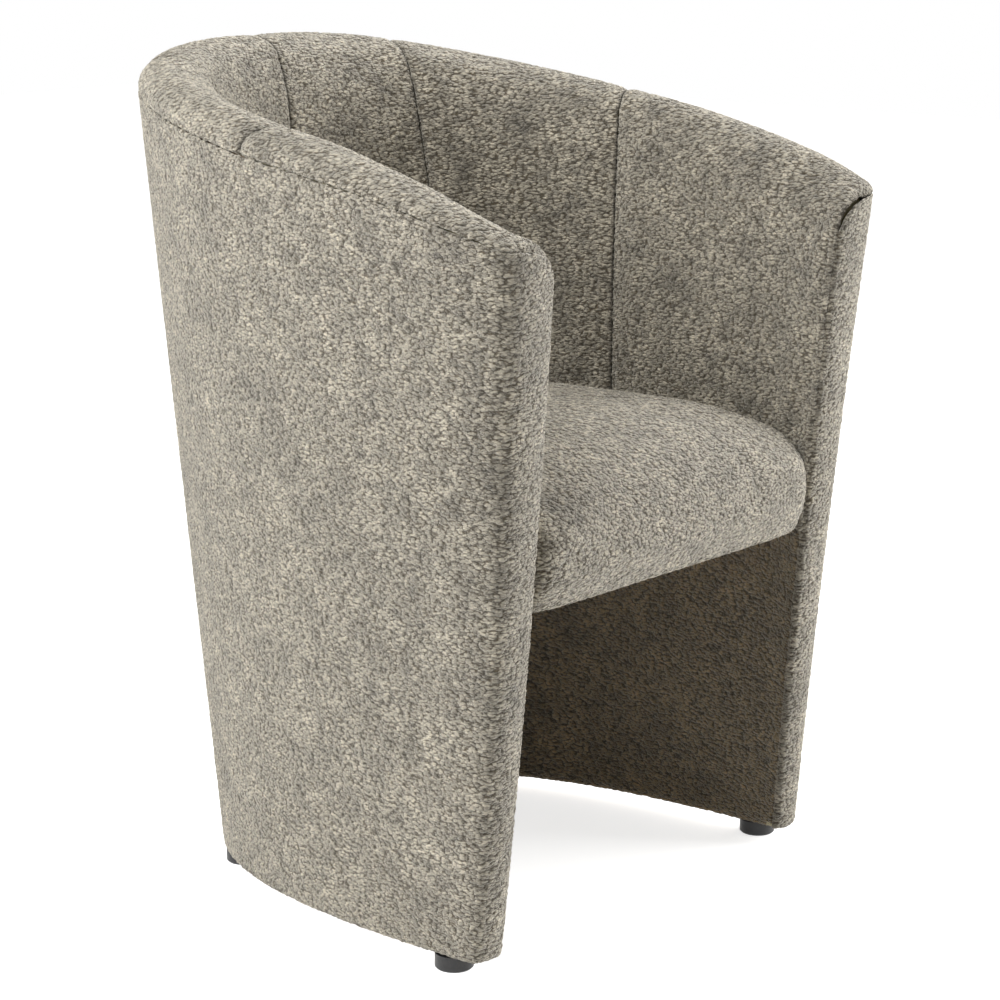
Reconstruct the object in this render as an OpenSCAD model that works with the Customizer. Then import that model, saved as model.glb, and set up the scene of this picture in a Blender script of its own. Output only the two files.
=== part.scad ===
// Club chair: a padded barrel shell on four round feet, with a thick domed seat held inside it.
// The front faces -Y and the floor is the plane z = 0. Left and right are the sitter's own.

/* [Shell] */
// Height of the back
back_h = 770; // [740:1:850]
// Height of the arms at the front
arm_h = 642; // [600:1:680]
// Width across the arms at the floor
floor_w = 490; // [470:1:540]
// Width across the arms, carried up to the height of the back
top_w = 596; // [580:1:660]
// Depth of the shell at the floor
floor_depth = 439; // [420:1:500]
// How far the arm fronts lean forward over the height of the back
front_lean = 72; // [40:1:90]
// How far the back leans backward over its height
back_lean = 71; // [40:1:90]
// Length of the straight stretch in front of each arm's widest point, at the floor
straight_l = 13; // [8:1:25]
// Squareness of the shell seen from above, where 2 is an ellipse
square_share = 2.68; // [2.2:0.01:3.2]
// Narrowing of the straight stretch at the arm's front, as a share of its length
toe_in_share = 0.2; // [0:0.01:0.3]

/* [Wall] */
// Thickness of the wall at its lower edge
floor_t = 36; // [35:1:44]
// Thickness of the wall under the rounded rim
rim_t = 63; // [56:1:75]
// Height of the rounded rim
cap_h = 24; // [18:1:32]
// Height of the rim's outer and of its inner rounding at the arm fronts
front_outer_cap_h = 9; // [9:1:24]
front_inner_cap_h = 40; // [24:1:41]
// Height of the wall's lower edge over the floor
hem_z = 14; // [10:1:25]
// Depth of the seams between the padded panels
seam_draw = 4; // [1:0.5:6]
// Thickness of the cover fabric
fabric_t = 2; // [1.5:0.1:2.5]
// Thickness of the hardboard sheets
board_t = 3; // [2.5:0.1:4]
// Depth of the wooden frame between the two hardboard sheets
frame_t = 22; // [18:1:24]
// Thickness of the plywood rings
ply_t = 18; // [15:1:21]
// Thickness of the padding on the front edge of each arm's frame
front_pad_t = 10; // [6:1:12]

/* [Seat] */
// Height of the seat's lower edge
seat_low_z = 318; // [300:1:330]
// Height of the seat's sides up to their shoulder
seat_side_h = 94; // [85:1:105]
// Rise of the seat's crown over its shoulder
seat_crown = 32; // [15:1:45]
// Rounding of the seat's side and back edges
seat_side_r = 24; // [15:1:35]
// Rounding of the seat's front edge
seat_front_r = 38; // [30:1:50]
// How far the seat's front stands before the arm fronts
seat_overhang = 12; // [5:1:20]
// Width of the plywood ring inside the seat
ring_w = 45; // [40:1:60]
// Width of a webbing strap
strap_w = 50; // [30:1:60]
// Number of straps that run from front to back
long_straps = 4; // [3:1:4]
// Number of straps that run from side to side
cross_straps = 4; // [3:1:4]

/* [Feet] */
// Diameter of a foot
foot_d = 34; // [30:1:38]
// Distance of a front foot's centre from the shell's front at the floor
foot_setback = 34; // [30:1:50]
// Distance of a foot's centre from the shell's outer side
foot_inset = 16; // [15:1:19]
// Place of the back feet on the shell, in degrees from the middle of the back
back_foot_station = 38; // [30:1:50]
// Diameter of the wood screws
screw_d = 4.5; // [4:0.1:5]
// Length of the wood screws
screw_l = 28; // [24:1:30]

/* [Hidden] */

fabric_color = [0.60, 0.57, 0.51];
lining_color = [0.45, 0.41, 0.34];
foam_color = [0.90, 0.86, 0.70];
board_color = [0.50, 0.36, 0.24];
wood_color = [0.80, 0.66, 0.45];
webbing_color = [0.20, 0.20, 0.19];
plastic_color = [0.05, 0.05, 0.05];
steel_color = [0.70, 0.70, 0.72];

// Clearance between soft pieces and what they lie on
gap = 0.3;
// Clearance between curved pieces that follow each other
curve_gap = 0.8;
// Clearance of a screw in its hole, on the radius
screw_gap = 0.05;
// Overrun of a cut past the face that it opens
overrun = 1;
// Shares of the flare and of the back's lean that are curved
flare_bow_share = 0.74;
back_bow_share = 0.49;
// Shares that shape the rim's rise from the arms to the back
rim_rise_share = 0.27;
rim_sway_share = 0.385;
// Place of the rim's crest across the wall, round the back and at the arm fronts
crest_share = 0.5;
front_crest_share = 0.36;
// Powers of the arms' toe-in and of the panels' crown between two seams
toe_in_power = 1.5;
crown_power = 4;
// Squareness of the seat's front corners
seat_corner_share = 5;

// Depth of the whole chair, and the shell's front and back at the floor
arm_lean = front_lean*arm_h/back_h;
total_depth = floor_depth + arm_lean + back_lean;
front_y0 = arm_lean - total_depth/2;
back_y0 = total_depth/2 - back_lean;
widest_y = front_y0 + straight_l;

// Insets of the wall's layers from its outer side
outer_board_in = fabric_t + curve_gap;
frame_in = outer_board_in + board_t + curve_gap;
frame_out = frame_in + frame_t;
inner_board_in = frame_out + curve_gap;
foam_in = inner_board_in + board_t + curve_gap;
cover_deep = fabric_t + gap;
frame_behind = cover_deep + front_pad_t + gap;

// Height of the seat's shoulder over the floor
seat_edge_z = seat_low_z + seat_side_h;

// Places along the shell are stations: degrees from the middle of the back, up to 90 at the arm's
// widest point, and up to front_station at its front face. All frame pieces share one step.
widest_station = 90;
front_station = 100;
set_back_station = 75;
station_step = 5;
inner_seam_station = 34;
outer_seam_station = 65;
inner_seam_drift = 13;
outer_seam_drift = 2;
side_post_station = 65;
back_post_station = 20;

// Levels of the pieces in the wall
base_low_z = hem_z + fabric_t;
base_top_z = base_low_z + ply_t;
panel_low_z = seat_low_z + gap;
lining_top_z = seat_low_z - gap;
rim_pad_h = cap_h + ply_t;

// Counts of facets up the wall, over the rim and across a panel, and of points round the seat
wall_rows = 7;
cap_rows = 6;
panel_rows = 4;
lining_rows = 2;
panel_columns = 6;
seat_points = 40;

function mix(a, b, share) = a + (b - a)*share;
function steps(n) = [for (i = [0 : n]) i/n];

// Half width, front and back of the shell's outer side at a height
function half_w(z) = let (s = z/back_h)
    mix(floor_w, top_w, (1 - flare_bow_share)*s + flare_bow_share*s*s)/2;
function front_y(z) = front_y0 - front_lean*z/back_h;
function back_y(z) = let (s = z/back_h)
    back_y0 + back_lean*((1 + back_bow_share)*s - back_bow_share*s*s);

// A point of a rounded square of half size 1, by its angle from +Y
function unit_curve(angle, square) = let (
    r = pow(pow(abs(sin(angle)), square) + pow(abs(cos(angle)), square), -1/square)
) [r*sin(angle), r*cos(angle)];

// How far the side is drawn in at a share of the straight stretch before the widest point
function toe_in(stretch, ahead) = toe_in_share*stretch*pow(ahead, toe_in_power);

// A point in the wall by its station, its height and its inset from the outer side
function wall(station, z, inset) = let (
    side = station < 0 ? -1 : 1,
    arc = unit_curve(min(abs(station), widest_station), square_share),
    ahead = max(abs(station) - widest_station, 0)/(front_station - widest_station),
    stretch = widest_y - front_y(z),
    x = (half_w(z) - inset)*arc[0] - toe_in(stretch, ahead),
    y = widest_y + (back_y(z) - widest_y - inset)*arc[1] - stretch*ahead
) [side*x, y, z];
// A point in an arm's wall by its distance behind the arm's front face
function arm_wall(behind, z, inset) = let (
    y = front_y(z) + behind,
    stretch = widest_y - front_y(z),
    back = max(y - widest_y, 0)/(back_y(z) - widest_y - inset),
    x = (half_w(z) - inset)*pow(1 - pow(back, square_share), 1/square_share)
) [x - toe_in(stretch, max(1 - behind/stretch, 0)), y, z];

// Height of the rim along the shell, and of the wall's sides under the rounded rim
function rim_z(station) = let (
    z = (arm_h + back_h)/2,
    s = (wall(station, z, 0)[1] - front_y(z))/(back_y(z) - front_y(z)),
    u = s + rim_rise_share*s*(1 - s) + rim_sway_share*s*(1 - s)*(1 - 2*s)
) mix(arm_h, back_h, u);
function side_z(station) = rim_z(station) - cap_h;

// How far a station is on its way from the outer seam to the front, and the rim's roundings there
function frontward(station) =
    max(abs(station) - outer_seam_station, 0)/(front_station - outer_seam_station);
function outer_top_z(station) =
    rim_z(station) - mix(cap_h, front_outer_cap_h, frontward(station));
function inner_top_z(station) =
    rim_z(station) - mix(cap_h, front_inner_cap_h, frontward(station));

// Thickness of the wall, a point that lies deep under its inner side, and one under its rim
function wall_t(station, z) =
    mix(floor_t, rim_t, (z - hem_z)/(side_z(station) - hem_z));
function inner_side(station, z, deep) = wall(station, z, wall_t(station, z) - deep);
function rim_point(station, angle, deep) = let (
    outward = cos(angle),
    crest = mix(crest_share, front_crest_share, frontward(station)),
    across = outward > 0 ? crest*(1 - outward) : mix(crest, 1, -outward),
    low = outward > 0 ? outer_top_z(station) : inner_top_z(station),
    thick = wall_t(station, inner_top_z(station)) - 2*deep
) wall(station, mix(low, rim_z(station) - deep, sin(angle)), deep + thick*across);

// The frame is set back from the arm's front face, and its last stations close up for that
function frame_point(station, z, inset) = let (
    point = wall(station, z, inset),
    share = (abs(station) - set_back_station)/(front_station - set_back_station),
    at = arm_wall(point[1] - front_y(z) + frame_behind*share, z, inset)
) share > 0 ? [sign(station)*at[0], at[1], z] : point;

// What lies round the frame ends behind the cover of the arm's front face
function behind_front(station, behind) = [0, abs(station) == front_station ? behind : 0, 0];

// A closed solid between two grids of points that match
module slab(near, far) {
    rows = len(near);
    cols = len(near[0]);
    count = rows*cols;
    normal = cross(near[0][1] - near[0][0], near[1][0] - near[0][0]);
    turned = normal*(near[0][0] - far[0][0]) > 0;
    quads = [
        for (i = [0 : rows - 2]) for (j = [0 : cols - 2])
            let (a = i*cols + j, b = a + 1, c = b + cols, d = a + cols)
                each [[a, b, c, d], [a + count, d + count, c + count, b + count]],
        for (i = [0 : rows - 2])
            let (a = i*cols, d = a + cols, b = a + cols - 1, c = d + cols - 1)
                each [[a, d, d + count, a + count], [c, b, b + count, c + count]],
        for (j = [0 : cols - 2])
            let (a = j, b = a + 1, d = (rows - 1)*cols + j, c = d + 1)
                each [[b, a, a + count, b + count], [d, c, c + count, d + count]]
    ];
    faces = [for (q = quads) each [[q[0], q[1], q[2]], [q[0], q[2], q[3]]]];
    polyhedron(
        points = [for (grid = [near, far]) for (row = grid) each row],
        faces = [for (f = faces) turned ? [f[2], f[1], f[0]] : f]
    );
}

// A closed solid through a row of loops, with a point in the middle of each end
module loop_stack(loops) {
    n = len(loops[0]);
    last = len(loops) - 1;
    middle = n*len(loops);
    sides = [
        for (k = [0 : last - 1]) for (j = [0 : n - 1])
            let (a = k*n + j, b = k*n + (j + 1) % n)
                each [[b + n, b, a], [a + n, b + n, a]]
    ];
    ends = [
        for (j = [0 : n - 1])
            let (k = (j + 1) % n, end = last*n)
                each [[j, k, middle], [end + k, end + j, middle + 1]]
    ];
    polyhedron(
        points = [for (loop = loops) each loop, middle_of(loops[0]), middle_of(loops[last])],
        faces = [each sides, each ends]
    );
}
function middle_of(loop) = [for (p = loop) 1]*loop/len(loop);

// A piece of the wall between two stations, two insets and two levels. A level is a height, or
// a height below the rim where it is negative.
function stations(from, to) = [from : station_step : to];
function level_z(level, station) = level < 0 ? rim_z(station) + level : level;
module wall_piece(from, to, inset, inset_far, low, high, rows) {
    grids = [
        for (d = [inset, inset_far]) [
            for (s = steps(rows)) [
                for (st = stations(from, to))
                    frame_point(st, mix(level_z(low, st), level_z(high, st), s), d)
            ]
        ]
    ];
    slab(grids[0], grids[1]);
}

// Pieces on the sitter's left are drawn at +X, and their twins are mirrored
module on_side(side) {
    if (side == "left") children();
    else mirror([1, 0, 0]) children();
}

// Covers

// The outer side, the two arm fronts and the hem folded under the lower edge
hem_l = 8;
module outer_cover() {
    color(fabric_color)
        union() {
            slab(outer_sheet(0), outer_sheet(fabric_t));
            for (side = [-1, 1]) slab(front_sheet(side, 0), front_sheet(side, fabric_t));
            slab(hem_sheet(hem_z), hem_sheet(base_low_z - gap));
        }
}
function outer_sheet(inset) = [
    for (s = steps(wall_rows)) [
        for (st = stations(-front_station, front_station))
            wall(st, mix(hem_z, outer_top_z(st) - curve_gap, s), inset)
            + behind_front(st, fabric_t/2)
    ]
];
function hem_sheet(z) = [
    for (inset = [fabric_t/2, hem_l]) [
        for (st = stations(-front_station, front_station))
            wall(st, z, inset) + behind_front(st, fabric_t/2)
    ]
];
// An arm's front is flat: each row runs across it from the outer to the inner side
function front_sheet(side, behind) = let (
    st = side*front_station,
    push = [0, behind, 0],
    turns = cap_rows/2
) [
    for (s = steps(wall_rows)) [
        wall(st, mix(hem_z, outer_top_z(st), s), 0) + push,
        inner_side(st, mix(hem_z, inner_top_z(st), s), 0) + push
    ],
    for (k = [1 : turns]) let (angle = widest_station*k/(turns + 1))
        [rim_point(st, angle, 0) + push, rim_point(st, 180 - angle, 0) + push]
];

// A padded panel runs up the inner side and over the rim to the outer side's upper edge. A seam
// is its station at the rim and its drift down the wall; the cover is drawn in along it.
seam_gap = 0.1;
middle_seam = [seam_gap, 0];
inner_seam = [inner_seam_station, inner_seam_drift];
outer_seam = [outer_seam_station, outer_seam_drift];
front_seam = [front_station, 0];
function beside(seam) = seam + [seam_gap, 0];
function seam_at(seam, up) = seam[0] + seam[1]*max(1 - up, 0);
function draw_in(across) = seam_draw*pow(abs(2*across - 1), crown_power);
function panel_sheet(seam_a, seam_b, deep) = [
    for (up = [each steps(panel_rows), for (k = [1 : cap_rows]) 1 + k/cap_rows]) [
        for (v = steps(panel_columns)) let (
            st = mix(seam_at(seam_a, up), seam_at(seam_b, up), v),
            d = deep + draw_in(v),
            point = up <= 1 ? inner_side(st, mix(panel_low_z, inner_top_z(st), up), d)
                : rim_point(st, 180*(2 - up), d)
        ) point + behind_front(st, cover_deep)
    ]
];
module panel(seam_a, seam_b) {
    color(fabric_color)
        slab(panel_sheet(seam_a, seam_b, 0), panel_sheet(seam_a, seam_b, fabric_t));
}
module back_panel(side) { on_side(side) panel(middle_seam, inner_seam); }
module wing_panel(side) { on_side(side) panel(beside(inner_seam), outer_seam); }
module arm_panel(side) { on_side(side) panel(beside(outer_seam), front_seam); }

// The plain lining of the wall below the seat
function lining_sheet(z, deep) = [
    for (s = steps(lining_rows)) [
        for (st = stations(-front_station, front_station))
            inner_side(st, mix(base_low_z, z, s), deep) + behind_front(st, cover_deep)
    ]
];
module lower_lining() {
    color(lining_color)
        slab(lining_sheet(lining_top_z, 0), lining_sheet(lining_top_z, fabric_t));
}

// Padding

// Foam between the inner hardboard and a panel. It ends at the roll on the rim, and its other
// rows are the panel's.
function foam_sheet(seam_a, seam_b, on_board) = [
    for (row = [0 : panel_rows]) [
        for (v = steps(panel_columns)) foam_point(seam_a, seam_b, v, row, on_board)
    ]
];
function foam_point(seam_a, seam_b, v, row, on_board) = let (
    top_z = inner_top_z(mix(seam_a[0], seam_b[0], v)),
    low_z = rim_z(mix(seam_a[0], seam_b[0], v)) - rim_pad_h - gap,
    up = min(row/panel_rows, (low_z - panel_low_z)/(top_z - panel_low_z)),
    st = mix(seam_at(seam_a, up), seam_at(seam_b, up), v),
    z = mix(panel_low_z, inner_top_z(st), up)
) wall(st, z, on_board ? foam_in : wall_t(st, z) - cover_deep - gap - draw_in(v))
    + behind_front(st, cover_deep);
module foam_pad(seam_a, seam_b) {
    color(foam_color)
        slab(foam_sheet(seam_a, seam_b, false), foam_sheet(seam_a, seam_b, true));
}
module back_foam(side) { on_side(side) foam_pad(middle_seam, inner_seam); }
module wing_foam(side) { on_side(side) foam_pad(beside(inner_seam), outer_seam); }
module arm_foam(side) { on_side(side) foam_pad(beside(outer_seam), front_seam); }

// The soft roll that rounds the rim, on top of the frame and of the other foam
module rim_foam() {
    deep = cover_deep + seam_draw + curve_gap;
    top = [
        for (s = steps(cap_rows)) [
            for (st = stations(-front_station, front_station))
                rim_point(st, 180*s, deep) + behind_front(st, cover_deep)
        ]
    ];
    bottom = [
        for (s = steps(cap_rows)) [
            for (st = stations(-front_station, front_station)) let (
                z = rim_z(st) - rim_pad_h,
                inset = mix(frame_in, wall_t(st, z) - deep, s)
            ) wall(st, z, inset) + behind_front(st, cover_deep)
        ]
    ];
    color(foam_color)
        slab(top, bottom);
}

// Thin wadding behind the lower lining
module lower_foam() {
    on_board = [
        for (s = steps(lining_rows)) [
            for (st = stations(-front_station, front_station))
                wall(st, mix(base_top_z + gap, lining_top_z, s), foam_in)
                + behind_front(st, cover_deep)
        ]
    ];
    under_lining = [
        for (s = steps(lining_rows)) [
            for (st = stations(-front_station, front_station))
                inner_side(st, mix(base_top_z + gap, lining_top_z, s), cover_deep)
                + behind_front(st, cover_deep)
        ]
    ];
    color(foam_color)
        slab(under_lining, on_board);
}

// Padding on the front edge of an arm's frame
module front_pad(side) {
    high = rim_z(front_station) - rim_pad_h - gap;
    grids = [
        for (b = [cover_deep + gap, frame_behind - gap]) [
            for (s = steps(post_rows)) [
                for (inset = [outer_board_in, foam_in - curve_gap])
                    arm_wall(b, mix(base_low_z, high, s), inset)
            ]
        ]
    ];
    color(foam_color)
        on_side(side) slab(grids[0], grids[1]);
}

// Frame

module outer_board() {
    color(board_color)
        wall_piece(-front_station, front_station, outer_board_in, outer_board_in + board_t,
            base_low_z, -rim_pad_h, wall_rows);
}
module inner_board() {
    color(board_color)
        wall_piece(-front_station, front_station, inner_board_in, inner_board_in + board_t,
            base_top_z + gap, -rim_pad_h - gap, wall_rows);
}
// The stiff strip that holds the outer cover's upper edge straight
module tack_strip() {
    color(board_color)
        wall_piece(-front_station, front_station, outer_board_in, outer_board_in + board_t - gap,
            -rim_pad_h + gap, -cap_h - 2*curve_gap, 1);
}

// Plywood rings at the foot and under the rim
base_in = floor_t - cover_deep - gap;
module base_ring() {
    outline = [
        for (st = stations(-front_station, front_station))
            flat(frame_point(st, base_low_z, frame_in)),
        for (st = [front_station : -station_step : -front_station])
            flat(frame_point(st, base_top_z, base_in) + behind_front(st, lean_of_base))
    ];
    color(wood_color)
        difference() {
            translate([0, 0, base_low_z])
                linear_extrude(ply_t)
                    polygon(outline);
            for (at = foot_places) translate(at) foot_screw_hole();
        }
}
lean_of_base = front_y(base_low_z) - front_y(base_top_z);
function flat(point) = [point[0], point[1]];
module top_rim() {
    color(wood_color)
        wall_piece(-front_station, front_station, frame_in, frame_out,
            -rim_pad_h - ply_t, -rim_pad_h - gap, 1);
}

// Upright posts between the two rings
post_rows = 6;
module shell_post(station) {
    wall_piece(station, station + station_step, frame_in, frame_out,
        base_top_z + gap, -rim_pad_h - ply_t - gap, post_rows);
}
module back_post(side) { color(wood_color) on_side(side) shell_post(back_post_station); }
module side_post(side) { color(wood_color) on_side(side) shell_post(side_post_station); }
// A front post is straight, so it stands clear of the boards that bend round it
front_post_l = 32;
post_ease = 2;
module front_post(side) {
    high = rim_z(front_station) - rim_pad_h - ply_t - gap;
    grids = [
        for (inset = [frame_in + post_ease, frame_out - post_ease]) [
            for (s = steps(post_rows)) [
                for (b = [frame_behind, frame_behind + front_post_l])
                    arm_wall(b, mix(base_top_z + gap, high, s), inset)
            ]
        ]
    ];
    color(wood_color)
        on_side(side) slab(grids[0], grids[1]);
}

// Seat

seat_gap = 1;
tuck_r = 6;
fold_l = 15;
// Where the seat has its loops: shares of its upright sides, turns over its shoulder in degrees,
// and shares of its dome
side_shares = [0.33, 0.67];
shoulder_turns = [0, 18, 36, 54, 72];
dome_shares = [0.85, 0.7, 0.5, 0.3, 0.12];
seat_middle_y = (front_y(seat_edge_z) + back_y(seat_edge_z) - rim_t)/2;

// Insets at a height that round the shoulder with a radius, and that tuck in the lower edge
function rounding(z, r) = let (up = max(z - seat_edge_z + r, 0)) r - sqrt(r*r - up*up);
function tuck(z) = let (down = max(seat_low_z + tuck_r - z, 0))
    tuck_r - sqrt(tuck_r*tuck_r - down*down);
// The seat's half width, and its reach to the back and to the front from the widest point
function seat_half_w(z) = half_w(z) - wall_t(widest_station, z) - seat_gap;
function seat_back_l(z) = back_y(z) - wall_t(0, z) - seat_gap - widest_y;
function seat_front_l(z) = let (s = (z - seat_low_z)/(seat_edge_z - seat_low_z))
    widest_y - front_y(z) + seat_overhang*sin(180*s);
function seat_loop(z, inset) = [
    for (j = [0 : seat_points - 1]) let (
        angle = 360*j/seat_points,
        stretch = widest_y - front_y(z),
        behind = cos(angle) >= 0,
        at = unit_curve(angle, behind ? square_share : seat_corner_share),
        edge = inset + tuck(z) + rounding(z, seat_side_r),
        front_edge = inset + tuck(z) + rounding(z, seat_front_r),
        y = at[1]*(behind ? seat_back_l(z) - edge : seat_front_l(z) - front_edge),
        x = at[0]*(seat_half_w(z) - edge - toe_in(stretch, max(-y, 0)/stretch))
    ) [x, widest_y + y, z]
];
// Loops from a level up to the top of the dome, each at the same depth under the seat's surface
function seat_loops(low, deep) = let (
    last = shoulder_turns[len(shoulder_turns) - 1],
    edge = shoulder_loop(last, deep),
    middle = [0, seat_middle_y, edge[0][2]]
) [
    seat_loop(low, deep),
    for (z = side_levels) if (z > low) seat_loop(z, deep),
    for (turn = shoulder_turns) shoulder_loop(turn, deep),
    for (s = dome_shares) [for (p = edge) mix(middle, p, s) + [0, 0, seat_crown*(1 - s*s)]]
];
side_levels = [for (s = side_shares) mix(seat_low_z + tuck_r, seat_edge_z - seat_front_r, s)];
function shoulder_loop(turn, deep) = [
    for (p = seat_loop(seat_edge_z - seat_front_r*(1 - sin(turn)), deep*cos(turn)))
        p - [0, 0, deep*sin(turn)]
];
function turned_over(list) = [for (i = [len(list) - 1 : -1 : 0]) list[i]];

// The seat's cover, open below, with its edge folded under the plywood ring
module seat_cover() {
    outer = seat_loops(seat_low_z + tuck_r, 0);
    inner = seat_loops(seat_low_z + tuck_r, fabric_t);
    color(fabric_color)
        loop_stack([
            each turned_over(outer),
            seat_loop(seat_low_z, 0),
            seat_loop(seat_low_z, fold_l),
            [for (p = seat_loop(seat_low_z, fold_l)) p + [0, 0, fabric_t]],
            seat_loop(seat_low_z + fabric_t, fabric_t),
            each inner
        ]);
}
ring_z = seat_low_z + cover_deep;
// Clearance between two rails, and the share of the seat's depth at which the side rails end
joint_gap = 0.1;
side_rail_share = 0.72;
strap_t = 1.5;
long_strap_z = ring_z + ply_t + gap;
cross_strap_z = long_strap_z + strap_t + gap;
module seat_foam() {
    color(foam_color)
        loop_stack(turned_over(seat_loops(cross_strap_z + strap_t + gap, cover_deep + gap)));
}
// Plywood rails round the seat: each is a piece of one flat ring, cut off straight at its ends
module seat_rail(left, right, front, back) {
    color(wood_color)
        difference() {
            translate([0, 0, ring_z])
                linear_extrude(ply_t)
                    intersection() {
                        difference() {
                            polygon(ring_outline(0));
                            polygon(ring_outline(ring_w));
                        }
                        translate([left, front]) square([right - left, back - front]);
                    }
            for (at = seat_screw_places) translate(at) screw_hole(screw_l);
        }
}
module seat_front_rail() {
    seat_rail(-ring_half_w, ring_half_w, ring_front_y, side_rail_front_y);
}
module seat_back_rail() { seat_rail(-ring_half_w, ring_half_w, side_rail_back_y, ring_back_y); }
module seat_side_rail(side) {
    on_side(side) seat_rail(0, ring_half_w, side_rail_front_y + joint_gap, side_rail_back_y - joint_gap);
}
// The ring's outline, and outlines drawn in from it towards the seat's middle
function ring_outline(inset) = [
    for (p = seat_loop(ring_z, cover_deep + gap))
        flat(mix([0, seat_middle_y, ring_z], p, 1 - inset/ring_half_w))
];
ring_half_w = seat_half_w(ring_z) - cover_deep;
ring_front_y = widest_y - seat_front_l(ring_z) + cover_deep;
ring_back_y = widest_y + seat_back_l(ring_z) - cover_deep;
side_rail_front_y = ring_front_y + ring_w;
side_rail_back_y = mix(ring_front_y, ring_back_y, side_rail_share);

// Elastic straps over the ring's opening, laid from front to back and then from side to side
strap_grip = 25;
function chord(share) = pow(1 - pow(abs(share), square_share), 1/square_share);
module webbing_long() {
    pitch = 2*(ring_half_w - ring_w)/long_straps;
    color(webbing_color)
        for (k = [0 : long_straps - 1]) {
            x = pitch*(k - (long_straps - 1)/2);
            reach = (abs(x) + strap_w/2)/ring_half_w;
            front = ring_front_y + ring_w - strap_grip;
            back = widest_y + (ring_back_y - widest_y)*chord(reach) - ring_w + strap_grip;
            translate([x - strap_w/2, front, long_strap_z])
                cube([strap_w, back - front, strap_t]);
        }
}
module webbing_cross() {
    front = ring_front_y + ring_w;
    pitch = (ring_back_y - ring_w - front)/cross_straps;
    color(webbing_color)
        for (k = [0 : cross_straps - 1]) {
            y = front + pitch*(k + 1/2);
            reach = max(y + strap_w/2 - widest_y, 0)/(ring_back_y - widest_y);
            half = ring_half_w*chord(reach) - ring_w + strap_grip;
            translate([-half, y - strap_w/2, cross_strap_z])
                cube([2*half, strap_w, strap_t]);
        }
}
dust_t = 1;
dust_grip = 12;
module dust_cover() {
    color(webbing_color)
        translate([0, 0, ring_z - gap - dust_t])
            linear_extrude(dust_t)
                polygon(ring_outline(ring_w - dust_grip));
}

// Battens on the lining that carry the seat
cleat_h = 20;
cleat_w = 36;
cleat_top_z = seat_low_z - gap;
cleat_low_z = cleat_top_z - cleat_h;
cleat_screw_in = 25;
side_cleat_stations = [70, 85];
side_screw_stations = [75, 80];
back_cleat_station = 20;
back_screw_station = 10;
function cleat_point(st, inset) = flat(wall(st, cleat_low_z, wall_t(st, cleat_low_z) + inset));
// A cleat's outer edge follows the lining, and its inner edge is straight
module cleat(from, to) {
    color(wood_color)
        difference() {
            translate([0, 0, cleat_low_z])
                linear_extrude(cleat_h)
                    polygon([
                        for (st = stations(from, to)) cleat_point(st, seat_gap),
                        cleat_point(to, cleat_w),
                        cleat_point(from, cleat_w)
                    ]);
            for (at = seat_screw_places) translate(at) screw_hole(screw_l);
        }
}
module seat_cleat(side) { on_side(side) cleat(side_cleat_stations[0], side_cleat_stations[1]); }
module seat_cleat_back() { cleat(-back_cleat_station, back_cleat_station); }
function seat_screw_place(st) = let (
    at = wall(st, cleat_low_z, wall_t(st, cleat_low_z) + cleat_screw_in)
) [at[0], at[1], cleat_low_z];
seat_screw_places = [
    for (side = [-1, 1]) for (st = [each side_screw_stations, back_screw_station])
        seat_screw_place(side*st)
];

// A countersunk wood screw that points up from its head, and the hole that it makes
head_d = 2*screw_d;
head_h = (head_d - screw_d)/2;
module wood_screw(length) {
    color(steel_color)
        rotate_extrude($fn = 48)
            polygon([
                [0, 0], [head_d/2, 0], [screw_d/2, head_h],
                [screw_d/2, length - screw_d], [0, length]
            ]);
}
module screw_hole(length) {
    r = screw_d/2 + screw_gap;
    mouth_r = head_d/2 + screw_gap + overrun;
    translate([0, 0, -overrun])
        cylinder(h = length + overrun + screw_gap, r = r, $fn = 48);
    rotate_extrude($fn = 48)
        polygon([[0, -overrun], [mouth_r, -overrun], [r, head_h + screw_gap], [0, head_h + screw_gap]]);
}
module seat_screws() { for (at = seat_screw_places) translate(at) wood_screw(screw_l); }

// Feet

// Rounding of a foot's edge, its collar in the shell, and the recess of its screw
foot_edge = 1.5;
collar_d = 12;
sink_h = 2;
sink_d = 10.5;
function foot_place(station) = let (at = wall(station, 0, foot_inset)) [at[0], at[1], 0];
front_foot = let (at = arm_wall(foot_setback, 0, foot_inset)) [at[0], at[1], 0];
back_foot = foot_place(back_foot_station);
foot_places = [
    for (at = [front_foot, back_foot]) for (side = [-1, 1]) [side*at[0], at[1], 0]
];
module foot_screw_hole() { translate([0, 0, sink_h]) screw_hole(screw_l); }
module foot(side, at) {
    color(plastic_color)
        on_side(side)
            translate(at)
                difference() {
                    rotate_extrude($fn = 96)
                        polygon([
                            [0, 0], [foot_d/2 - foot_edge, 0], [foot_d/2, foot_edge],
                            [foot_d/2, hem_z], [collar_d/2, hem_z], [collar_d/2, base_low_z],
                            [0, base_low_z]
                        ]);
                    foot_screw_hole();
                    translate([0, 0, -overrun])
                        cylinder(h = sink_h + overrun, d = sink_d, $fn = 48);
                }
}
module foot_screws() { for (at = foot_places) translate(at + [0, 0, sink_h]) wood_screw(screw_l); }

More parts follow.
